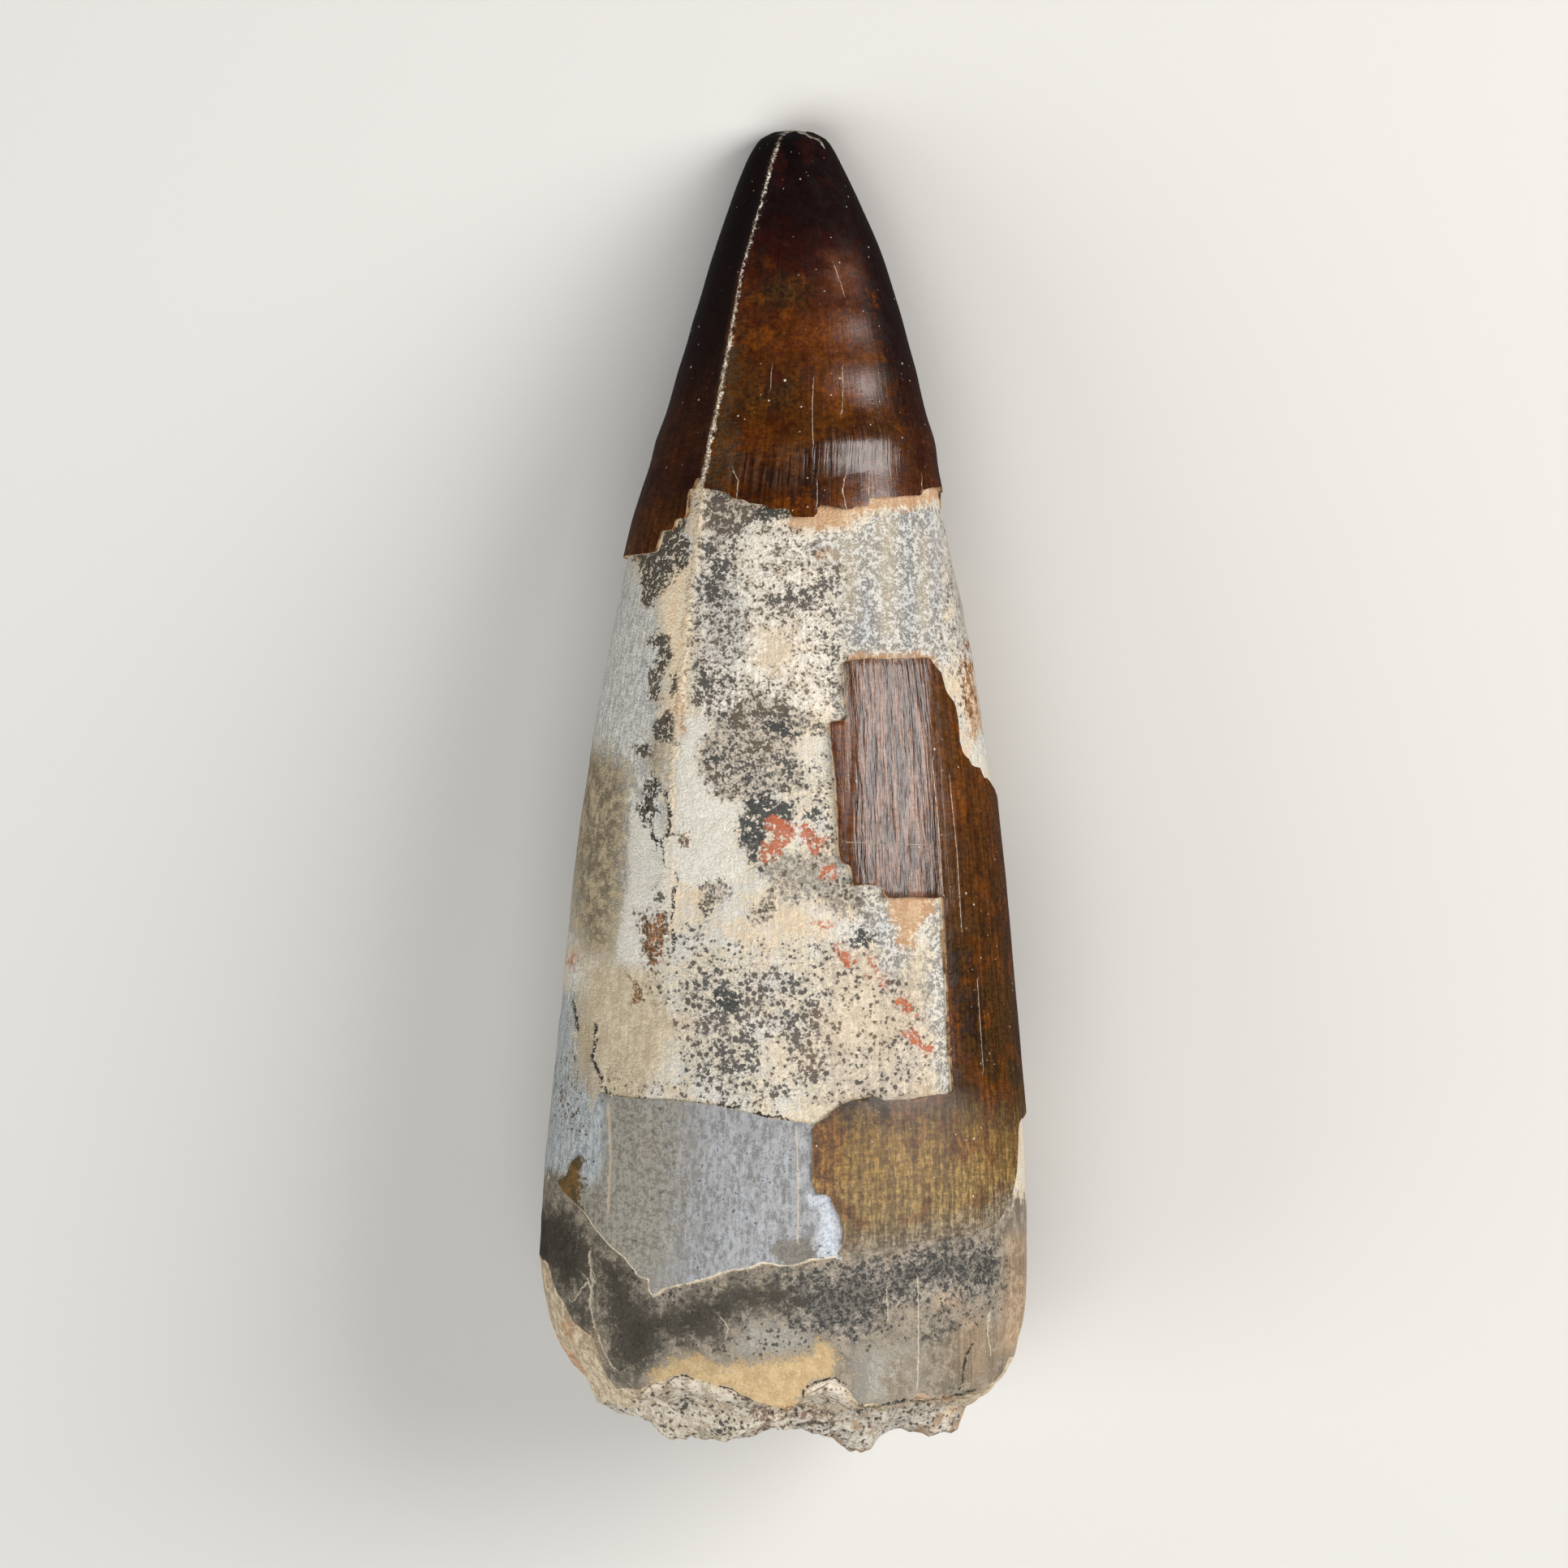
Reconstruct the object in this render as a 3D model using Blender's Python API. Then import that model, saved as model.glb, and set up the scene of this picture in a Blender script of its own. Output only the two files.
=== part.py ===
"""Fossil tooth of a giant crocodile relative, lying on its flatter side with the tip along +Y.

The tooth is modelled in its own frame first: X across, Y along the tooth towards the tip, Z towards the face that
lies upward. Angles run around the tooth from that face, positive towards +X. It is then tilted until its
underside lies on the surface. Sizes here are in millimetres, and the mesh is in metres.
"""

import math

import bmesh
import bpy
from mathutils import Matrix, Vector, noise
from mathutils.geometry import tessellate_polygon

millimetre = 0.001

# Driving dimensions
tip_at = 42.5
depth_share = 0.84  # depth over width
enamel_thickness = 0.35
grey_layer_thickness = 0.18
carina_angle = -34.0
carina_spread = 9.0  # degrees over which the ridge falls away
hidden_carina_share = 0.6  # how high the second ridge, on the underside, is beside the first
underside_arch = 0.7
contact_at_root = -30.0
contact_at_crown = 38.0
sink = 0.16  # worn flat where the tooth rests

around_count = 56
along_count = 42

# Along the tooth, half its width, and how far its middle lies towards +X
stations = [
    (-46.0, 15.5, -0.2),
    (-33.0, 15.7, -0.2),
    (-24.8, 15.45, -0.05),
    (-14.4, 14.5, 0.05),
    (-4.0, 13.5, 0.1),
    (6.4, 12.05, 0.25),
    (16.8, 9.9, 0.3),
    (22.0, 8.55, 0.6),
    (27.2, 7.15, 0.75),
    (31.1, 6.05, 0.8),
    (35.0, 4.85, 0.75),
    (37.6, 3.9, 0.6),
    (40.2, 2.9, 0.35),
    (41.8, 2.1, 0.1),
    (42.3, 1.25, 0.0),
]

# Along the tooth, and how far the carina stands out
carina_heights = [(-46.0, 0.0), (-15.0, 0.0), (-9.0, 0.3), (14.0, 0.45), (20.0, 0.8), (38.0, 0.7), (42.3, 0.2)]

# Where the smooth outer wall of the root ends: angle, and along the tooth
rim = [
    (-180, -37.0),
    (-160, -35.2),
    (-135, -33.4),
    (-110, -31.2),
    (-90, -29.8),
    (-72, -30.6),
    (-63, -32.8),
    (-56, -34.8),
    (-47, -36.4),
    (-36, -38.4),
    (-24, -37.2),
    (-13, -38.0),
    (2, -39.3),
    (8, -37.6),
    (15, -38.9),
    (42, -38.7),
    (56, -38.3),
    (69, -36.6),
    (78, -34.2),
    (90, -32.0),
    (110, -34.0),
    (135, -36.6),
    (160, -38.2),
    (180, -37.0),
]

# Lower edge of the matrix that fills the pulp cavity: across, and along the tooth
matrix_edge = [
    (-16.0, -38.0),
    (-11.0, -40.0),
    (-9.7, -40.4),
    (-6.2, -42.0),
    (-3.5, -41.9),
    (-0.4, -41.2),
    (2.4, -41.6),
    (4.0, -42.5),
    (5.4, -42.5),
    (7.2, -41.4),
    (8.9, -41.8),
    (11.1, -40.5),
    (16.0, -37.5),
]

# Lower edge of the whole enamel of the crown, as seen on the upper face: across, and along the tooth
crown_edge_in_front = [
    (-10.1, 15.0),
    (-8.5, 15.1),
    (-7.9, 16.5),
    (-7.0, 16.6),
    (-6.6, 17.3),
    (-6.1, 17.6),
    (-5.9, 19.2),
    (-5.3, 19.9),
    (-4.7, 19.2),
    (-3.5, 18.8),
    (-2.5, 18.3),
    (0.1, 17.8),
    (0.4, 17.3),
    (2.0, 17.3),
    (2.1, 18.1),
    (3.7, 17.8),
    (5.3, 18.0),
    (5.4, 18.6),
    (8.7, 18.8),
    (8.8, 19.2),
    (9.9, 19.4),
]

# The same edge on the underside: angle, and along the tooth
crown_edge_behind = [
    (100, 19.0),
    (108, 17.5),
    (118, 17.8),
    (128, 15.5),
    (140, 14.8),
    (150, 12.2),
    (163, 12.6),
    (176, 10.5),
    (190, 11.8),
    (204, 11.2),
    (218, 13.6),
    (232, 13.2),
    (246, 15.4),
    (258, 14.8),
]

# Enamel that is left below the crown, a window with a band beside it that widens over the root's shoulder
band_top_in_front = [
    (3.7, 8.2),
    (6.2, 8.4),
    (9.2, 8.3),
    (10.0, 7.4),
    (10.4, 5.9),
    (11.0, 4.8),
    (11.2, 2.6),
    (11.8, 1.5),
    (12.9, 0.8),
]
band_behind = [
    (100, -1.5),
    (112, -1.0),
    (122, -4.5),
    (136, -4.0),
    (148, -7.5),
    (153, -12.0),
    (146, -17.5),
    (132, -18.5),
    (118, -16.8),
    (104, -19.6),
    (94, -20.4),
]
band_low_in_front = [
    (14.9, -21.7),
    (14.8, -24.5),
    (13.6, -27.6),
    (9.0, -28.6),
    (3.5, -29.6),
    (3.7, -28.6),
    (3.4, -26.9),
    (2.8, -25.7),
    (1.8, -25.1),
    (1.7, -21.2),
    (3.5, -20.0),
    (5.8, -19.5),
    (10.7, -19.3),
    (10.5, -15.0),
    (10.0, -6.9),
    (6.6, -6.9),
    (6.2, -6.1),
    (4.3, -6.1),
    (4.2, -4.8),
    (3.5, -4.6),
    (3.0, 2.0),
    (2.8, 4.3),
    (3.9, 4.5),
]

# Plates of enamel on the underside: angle, and along the tooth
plates_behind = [
    [
        (178, 3.5),
        (192, 4.6),
        (206, 3.2),
        (222, 4.2),
        (238, 1.5),
        (244, -3.5),
        (236, -9.0),
        (222, -8.2),
        (208, -12.5),
        (192, -11.4),
        (181, -6.0),
    ],
    [(204, -20.8), (218, -22.0), (236, -20.0), (243, -25.5), (230, -28.6), (214, -27.0), (202, -25.2)],
]

# The smooth grey layer above the root, with the brown stub at its left
grey_layer_in_front = [
    (-14.9, -24.9),
    (-14.1, -24.6),
    (-13.3, -23.3),
    (-12.8, -23.6),
    (-12.1, -19.4),
    (-7.3, -19.7),
    (-3.5, -20.2),
    (1.3, -21.2),
    (1.4, -25.3),
    (2.4, -26.0),
    (3.2, -28.6),
    (2.8, -29.7),
    (-2.5, -30.4),
    (-6.1, -31.3),
    (-8.6, -32.1),
    (-8.9, -31.1),
    (-9.9, -30.5),
    (-11.9, -28.4),
    (-12.9, -27.2),
]


def between(points, place):
    """Straight lines through the points."""
    for (start, low), (end, high) in zip(points, points[1:]):
        if place <= end:
            return low + (high - low) * max(0.0, place - start) / (end - start)
    return points[-1][1]


def smooth_between(points, place):
    """A smooth curve through the points (Catmull-Rom)."""
    last = len(points) - 1
    place = min(max(place, points[0][0]), points[last][0])
    k = 0
    while k < last - 1 and place > points[k + 1][0]:
        k += 1

    def slope(i):
        low, high = points[max(i - 1, 0)], points[min(i + 1, last)]
        return (high[1] - low[1]) / (high[0] - low[0])

    (start, low), (end, high) = points[k], points[k + 1]
    step = end - start
    t = (place - start) / step
    from_start = (1 + 2 * t) * (1 - t) ** 2 * low + t * (1 - t) ** 2 * step * slope(k)
    from_end = t * t * (3 - 2 * t) * high + t * t * (t - 1) * step * slope(k + 1)
    return from_start + from_end


half_widths = [(along, half) for along, half, middle in stations]
middles = [(along, middle) for along, half, middle in stations]


def half_width(along):
    return smooth_between(half_widths, along)


def middle_across(along):
    return smooth_between(middles, along)


depth_at_root = depth_share * half_width(contact_at_root)
depth_at_crown = depth_share * half_width(contact_at_crown)
underside_slope = (depth_at_root - depth_at_crown) / (contact_at_crown - contact_at_root)


def middle_height(along):
    """The middle is bowed so that the underside is nearly straight, a little hollow between its two contacts."""
    underside = depth_at_root - underside_slope * (along - contact_at_root)
    share = (along - contact_at_root) / (contact_at_crown - contact_at_root)
    share = min(max(share, 0.0), 1.0)
    arch = 4.0 * underside_arch * share * (1.0 - share)
    room_for_enamel = enamel_thickness * share
    return depth_share * half_width(along) - underside + arch + room_for_enamel


def ridge(angle, along):
    """How far the two carinae, on opposite sides, lift the surface."""
    height = between(carina_heights, along)
    rise = 0.0
    for crest, part_of_height in ((carina_angle, 1.0), (carina_angle + 180.0, hidden_carina_share)):
        away = abs((angle - crest + 180.0) % 360.0 - 180.0)
        rise += part_of_height * height * math.exp(-away / carina_spread)
    return rise


def surface_point(angle, along, thickness=0.0, share=1.0):
    """A point over the dentine by that thickness, or at that share of the way out from the middle."""
    half = half_width(along)
    over = thickness + ridge(angle, along)
    turn = math.radians(angle)
    across = middle_across(along) + share * (half + over) * math.sin(turn)
    height = middle_height(along) + share * (depth_share * half + over) * math.cos(turn)
    return Vector((across, along, height)) * millimetre


def column_angles():
    return [carina_angle + 360.0 * i / around_count for i in range(around_count)]


def add_rings(mesh, rings):
    """Joins rings of points, from the root to the tip, with four-sided faces."""
    made = [[mesh.verts.new(point) for point in ring] for ring in rings]
    for low, high in zip(made, made[1:]):
        for i in range(len(low)):
            j = (i + 1) % len(low)
            mesh.faces.new((low[i], low[j], high[j], high[i]))
    return made


def close_ring(mesh, ring, point, upward):
    """Closes a ring of vertices with a fan to one point."""
    centre = mesh.verts.new(point)
    for i in range(len(ring)):
        j = (i + 1) % len(ring)
        mesh.faces.new((ring[i], ring[j], centre) if upward else (ring[j], ring[i], centre))


def wall_rings(lowest, thickness):
    """The side of the tooth, from lowest(angle) up to the worn tip."""
    top = stations[-1][0]
    rings = []
    for k in range(along_count + 1):
        share = k / along_count
        rings.append([
            surface_point(angle, lowest(angle) * (1 - share) + top * share, thickness)
            for angle in column_angles()
        ])
    return rings


def signed_angle(angle):
    return (angle + 180.0) % 360.0 - 180.0


def rim_height(angle):
    turn = math.radians(angle)
    ripple = 0.35 * noise.noise(Vector((3.0 * math.sin(turn), 3.0 * math.cos(turn), 1.7)))
    return between(rim, signed_angle(angle)) + ripple


# The broken end, from the rim inward: share of the way out, and how far the break has sunk to the matrix
break_steps = [
    (0.96, 0.2),
    (0.9, 0.5),
    (0.84, 0.75),
    (0.78, 1.0),
    (0.73, 1.6),
    (0.67, 1.95),
    (0.6, 2.0),
    (0.5, 2.0),
    (0.38, 2.0),
    (0.25, 2.0),
    (0.12, 2.0),
]
wall_end = -39.3  # where the wall of the root is broken off, at its inner side
lump_size = 4.5
lump_height = 1.0


def break_point(angle, share, sunk):
    """A point of the broken end: sunk runs from 0 at the rim to 1 at the wall's inner edge and 2 on the matrix."""
    point = surface_point(angle, rim_height(angle), share=share) / millimetre
    across, height = point.x, point.z
    upper_side = min(1.0, max(0.0, 0.5 + height / 20.0))
    matrix_end = between(matrix_edge, across) + 3.0 * (1.0 - upper_side)
    along = point.y + (wall_end - point.y) * min(sunk, 1.0)
    along += (matrix_end - along) * max(sunk - 1.0, 0.0)
    lumps = noise.fractal(Vector((across, height, 4.0)) / lump_size, 1.0, 2.0, 2)
    along = max(along + lump_height * min(sunk, 1.0) * lumps, -tip_at)
    return Vector((across, along, height)) * millimetre


def new_object(name, mesh, material=None):
    bmesh.ops.recalc_face_normals(mesh, faces=mesh.faces)
    data = bpy.data.meshes.new(name)
    mesh.to_mesh(data)
    mesh.free()
    made = bpy.data.objects.new(name, data)
    bpy.context.scene.collection.objects.link(made)
    if material:
        data.materials.append(material)
    return made


def as_guide(made):
    """Keeps a shape that only cuts or joins out of the model."""
    made.hide_render = True
    made.display_type = "WIRE"
    return made


def add_boolean(target, other, operation):
    step = target.modifiers.new(operation.title() + " " + other.name, "BOOLEAN")
    step.object = other
    step.operation = operation
    step.solver = "EXACT"


def dentine(material):
    """The tooth without its enamel, from the broken root to the worn tip."""
    mesh = bmesh.new()
    broken = [
        [break_point(angle, share, sunk) for angle in column_angles()]
        for share, sunk in reversed(break_steps)
    ]
    rings = add_rings(mesh, broken + wall_rings(rim_height, 0.0))
    close_ring(mesh, rings[0], break_point(0.0, 0.0, 2.0), upward=False)
    close_ring(mesh, rings[-1], Vector((0.0, tip_at, middle_height(stations[-1][0]))) * millimetre, upward=True)
    return new_object("tooth", mesh, material)


def outer_skin(name, thickness):
    """The whole side of the tooth, over the dentine by that thickness."""
    lowest = -34.0
    mesh = bmesh.new()
    rings = add_rings(mesh, wall_rings(lambda angle: lowest, thickness))
    close_ring(mesh, rings[0], Vector((0.0, lowest, 0.0)) * millimetre, upward=False)
    tip = Vector((0.0, tip_at + thickness, middle_height(stations[-1][0]))) * millimetre
    close_ring(mesh, rings[-1], tip, upward=True)
    return as_guide(new_object(name, mesh))


def seen_angle(across, along, thickness):
    """The angle at which a point on the upper face lies, from how far across it shows."""
    share = (across - middle_across(along)) / (half_width(along) + thickness)
    return math.degrees(math.asin(max(-1.0, min(1.0, share))))


def in_angles(outline, thickness):
    return [(seen_angle(across, along, thickness), along) for across, along in outline]


inner_share = 0.5
outer_share = 7.0  # so far out that the straight edges of a wide cutter stay clear of the tooth


def add_patch(mesh, outline):
    """A block that runs outward from inside the tooth, with that outline around it."""
    flat = [Vector((angle, along, 0.0)) for angle, along in outline]
    inner = [mesh.verts.new(surface_point(angle, along, share=inner_share)) for angle, along in outline]
    outer = [mesh.verts.new(surface_point(angle, along, share=outer_share)) for angle, along in outline]
    for a, b, c in tessellate_polygon([flat]):
        mesh.faces.new((inner[a], inner[b], inner[c]))
        mesh.faces.new((outer[c], outer[b], outer[a]))
    for i in range(len(outline)):
        j = (i + 1) % len(outline)
        mesh.faces.new((inner[i], outer[i], outer[j], inner[j]))


def add_cap(mesh, outline):
    """A block that holds the whole tooth above that outline, which runs once around it."""
    inner = [surface_point(angle, along, share=inner_share) for angle, along in outline]
    outer = [surface_point(angle, along, share=2.0) for angle, along in outline]
    above = [Vector((point.x, 60.0 * millimetre, point.z)) for point in outer]
    rings = add_rings(mesh, [inner, outer, above])
    close_ring(mesh, rings[0], Vector((0.0, 17.0, 0.0)) * millimetre, upward=False)
    close_ring(mesh, rings[-1], Vector((0.0, 60.0, 0.0)) * millimetre, upward=True)


def enamel_cutter():
    mesh = bmesh.new()
    add_cap(mesh, in_angles(crown_edge_in_front, enamel_thickness) + crown_edge_behind)
    band = in_angles(band_top_in_front, enamel_thickness) + band_behind
    band += in_angles(band_low_in_front, enamel_thickness)
    add_patch(mesh, band)
    for plate in plates_behind:
        add_patch(mesh, plate)
    return as_guide(new_object("enamel_outline", mesh))


def grey_layer_cutter():
    mesh = bmesh.new()
    add_patch(mesh, in_angles(grey_layer_in_front, grey_layer_thickness))
    return as_guide(new_object("grey_layer_outline", mesh))


def surface_block():
    """What the tooth rests on, which wears a small flat where they touch."""
    mesh = bmesh.new()
    bmesh.ops.create_cube(mesh, size=1.0)
    bmesh.ops.scale(mesh, vec=(0.1, 0.2, 0.02), verts=mesh.verts)
    bmesh.ops.translate(mesh, vec=(0.0, 0.0, -0.01), verts=mesh.verts)
    return as_guide(new_object("surface_below", mesh))


def fossil_material():
    material = bpy.data.materials.new("Fossil dentine and enamel")
    material.use_nodes = True
    shader = material.node_tree.nodes["Principled BSDF"]
    shader.inputs["Base Color"].default_value = (0.5, 0.42, 0.32, 1.0)
    shader.inputs["Roughness"].default_value = 0.55
    shader.inputs["Metallic"].default_value = 0.0
    return material


def lay_down(made):
    """Tilts the finished tooth onto its underside, with the middle of its outline over the origin."""
    tilt = Matrix.Rotation(-math.atan(underside_slope), 4, "X")
    for piece in made:
        piece.data.transform(tilt)
    bpy.context.view_layer.update()
    whole = made[0].evaluated_get(bpy.context.evaluated_depsgraph_get()).to_mesh()
    low = [min(vertex.co[axis] for vertex in whole.vertices) for axis in range(3)]
    high = [max(vertex.co[axis] for vertex in whole.vertices) for axis in range(3)]
    shift = Vector((-(low[0] + high[0]) / 2, -(low[1] + high[1]) / 2, -low[2] - sink * millimetre))
    for piece in made:
        piece.data.transform(Matrix.Translation(shift))


def main():
    for old in list(bpy.context.scene.objects):
        bpy.data.objects.remove(old)
    tooth = dentine(fossil_material())
    enamel = outer_skin("enamel_skin", enamel_thickness)
    grey_layer = outer_skin("grey_layer_skin", grey_layer_thickness)
    enamel_edges = enamel_cutter()
    grey_layer_edges = grey_layer_cutter()
    add_boolean(enamel, enamel_edges, "INTERSECT")
    add_boolean(grey_layer, grey_layer_edges, "INTERSECT")
    add_boolean(tooth, enamel, "UNION")
    add_boolean(tooth, grey_layer, "UNION")
    lay_down([tooth, enamel, grey_layer, enamel_edges, grey_layer_edges])
    add_boolean(tooth, surface_block(), "DIFFERENCE")
    tooth.data.shade_smooth()
    tooth.data.set_sharp_from_angle(angle=math.radians(35.0))


main()
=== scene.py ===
import math

import bmesh
import bpy
import numpy as np
from mathutils import Matrix, Vector, noise


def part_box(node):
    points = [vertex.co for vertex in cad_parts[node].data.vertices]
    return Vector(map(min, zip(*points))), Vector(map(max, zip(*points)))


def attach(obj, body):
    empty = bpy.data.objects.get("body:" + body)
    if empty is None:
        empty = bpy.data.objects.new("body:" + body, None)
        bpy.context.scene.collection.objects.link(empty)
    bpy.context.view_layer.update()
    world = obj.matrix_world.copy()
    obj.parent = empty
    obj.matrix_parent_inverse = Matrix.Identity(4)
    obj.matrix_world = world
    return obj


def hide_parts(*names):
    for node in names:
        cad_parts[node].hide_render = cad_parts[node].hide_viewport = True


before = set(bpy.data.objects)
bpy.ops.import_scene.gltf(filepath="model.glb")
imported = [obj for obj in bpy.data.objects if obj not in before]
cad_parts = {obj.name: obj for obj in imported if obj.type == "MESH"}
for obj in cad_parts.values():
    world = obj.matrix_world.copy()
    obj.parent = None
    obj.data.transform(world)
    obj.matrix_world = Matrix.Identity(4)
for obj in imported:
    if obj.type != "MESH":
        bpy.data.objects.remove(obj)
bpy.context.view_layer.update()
millimetre = 0.001

# The tooth's shape, in the same sizes as its solid
form = {
    "tipAt": 42.5,
    "depthShare": 0.84,  # depth over width
    "enamel": 0.35,
    "greyLayer": 0.18,
    "carinaAngle": -34,
    "carinaSpread": 9,
    "carinaTurn": [(-46, 0), (33, 0), (36, 4), (38, 7.5), (40.2, 10), (42.3, 12)],  # over the worn tip
    "hiddenCarina": 0.6,
    "underArch": 0.7,
    "rootContact": -30,
    "crownContact": 38,
    "sink": 0.16,
    "columns": 272,
    "snap": 0.14,  # share of an edge within which its end moves onto a ledge's line
    "sharpAngle": 38,
    "strips": (25, 10),
    # along, half its width, how far its middle lies to the right
    "stations":  [(-46, 15.5, -0.2), (-33, 15.7, -0.2), (-24.8, 15.45, -0.05), (-14.4, 14.5, 0.05),
                 (-4, 13.5, 0.1), (6.4, 12.05, 0.25), (16.8, 9.9, 0.3), (22, 8.55, 0.6),
                 (27.2, 7.15, 0.75), (31.1, 6.05, 0.8), (35, 4.85, 0.75), (37.6, 3.85, 0.62),
                 (40.2, 2.75, 0.5), (41.5, 2.05, 0.5), (42, 1.6, 0.5), (42.2, 1.2, 0.5)],
    "carina": [(-46, 0), (-15, 0), (-9, 0.3), (14, 0.45), (20, 0.8), (38, 0.65), (41, 0.3), (42.2, 0)],
    # soft swells of growth in the crown: along, angle, how high
    "swells": [(33.6, 8, 0.05), (30.2, 20, 0.07), (26.8, 28, 0.09), (22.3, 24, 0.28)],
    "rim":  [(-180, -37), (-160, -35.2), (-135, -33.4), (-110, -31.2), (-90, -29.8), (-74, -30.4),
            (-64, -32.4), (-58, -34), (-50, -35), (-47, -37), (-42, -38.2), (-35, -38.1), (-27, -37.3),
            (-21, -37.5), (-12, -38), (-4, -39.2), (2, -39.3), (6, -38.2), (11, -37.5), (15, -38.2),
            (18, -39), (24, -39), (50, -38.4), (60, -37.7), (71, -36.4), (75, -35), (85, -32.6),
            (90, -31.8), (110, -34), (135, -36.6), (160, -38.2), (180, -37)],
    # the lower edge of the matrix that fills the root
    "matrixEdge":  [(-16, -38.6), (-12.4, -39.6), (-11, -41), (-9.7, -41.1), (-8.2, -41.5), (-6.2, -42.2),
                   (-3.5, -42), (-0.4, -41.2), (1, -41.1), (2, -41.5), (3, -42.2), (4, -42.7),
                   (5.5, -42.8), (6.2, -42), (7, -41.7), (8, -41.9), (9, -42.6), (10.2, -43.2),
                   (10.9, -43.6), (11.5, -43), (12.4, -40), (16, -38)],
    # the broken end, inward from the rim: share of the way out, how far the break has sunk (1 wall, 2 matrix)
    "breakSteps":  [(0, 2), (0.6, 2), (0.67, 1.9), (0.72, 1.6), (0.76, 1.05), (0.8, 0.86), (0.86, 0.7),
                   (0.92, 0.56), (0.96, 0.4), (0.985, 0.2), (1, 0)],
    "breakRings": 42,
    "ringsOutward": 1.4,  # how much closer the rings stand near the rim
    "tipRings": (0.94, 0.82, 0.6, 0.3),
    "wallEnd": -39.3,
}


def straight(points, place):
    xs, ys = np.array(points, float).T
    return np.interp(place, xs, ys)


def smooth(points, place):  # a curve through the points, with the slope of each point's neighbours
    xs, ys = np.array(points, float).T
    low = np.maximum(np.arange(len(xs)) - 1, 0)
    high = np.minimum(np.arange(len(xs)) + 1, len(xs) - 1)
    slopes = (ys[high] - ys[low]) / (xs[high] - xs[low])
    place = np.clip(place, xs[0], xs[-1])
    k = np.clip(np.searchsorted(xs, place) - 1, 0, len(xs) - 2)
    step = xs[k + 1] - xs[k]
    t = (place - xs[k]) / step
    start = (1 + 2 * t) * (1 - t) ** 2 * ys[k] + t * (1 - t) ** 2 * step * slopes[k]
    return start + t * t * (3 - 2 * t) * ys[k + 1] + t * t * (t - 1) * step * slopes[k + 1]


def eased(value, low, high):
    t = np.clip((value - low) / (high - low), 0, 1)
    return t * t * (3 - 2 * t)


def halfWidth(along):
    return smooth([(place, half) for place, half, middle in form["stations"]], along)


def middleAcross(along):
    return smooth([(place, middle) for place, half, middle in form["stations"]], along)


rootDepth = form["depthShare"] * halfWidth(form["rootContact"])
crownDepth = form["depthShare"] * halfWidth(form["crownContact"])
underSlope = (rootDepth - crownDepth) / (form["crownContact"] - form["rootContact"])


def middleUp(along):  # the middle is bowed, so that the underside lies nearly straight
    under = rootDepth - underSlope * (along - form["rootContact"])
    share = np.clip((along - form["rootContact"]) / (form["crownContact"] - form["rootContact"]), 0, 1)
    arch = 4 * form["underArch"] * share * (1 - share)
    return form["depthShare"] * halfWidth(along) - under + arch + form["enamel"] * share


def carinaAway(angle, along, side=0.0):  # degrees from a carina's crest
    crest = form["carinaAngle"] + straight(form["carinaTurn"], along) + side
    return (angle - crest + 180) % 360 - 180


def carinaRise(angle, along):
    height = straight(form["carina"], along)
    front = np.exp(-np.abs(carinaAway(angle, along)) / form["carinaSpread"])
    behind = np.exp(-np.abs(carinaAway(angle, along, 180)) / form["carinaSpread"])
    return height * (front + form["hiddenCarina"] * behind)


def swellRise(angle, along):
    rise = np.zeros(len(angle))
    for place, middle, height in form["swells"]:
        round = np.exp(-(((angle - middle) / 26) ** 2)) + 0.5
        rise += height * round * np.exp(-(((along - place) / 1.15) ** 2))
    return rise


def surfacePoints(angle, along, thickness, share):
    half = halfWidth(along)
    over = thickness + carinaRise(angle, along)
    turn = np.radians(angle)
    across = middleAcross(along) + share * (half + over) * np.sin(turn)
    up = middleUp(along) + share * (form["depthShare"] * half + over) * np.cos(turn)
    return np.stack([across, along, up], 1)


def noiseAt(points, scale, shift=0.0, octaves=2):
    places = points / scale + shift
    return np.array([noise.fractal(Vector(place), 1.0, 2.0, octaves) for place in places])


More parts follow.
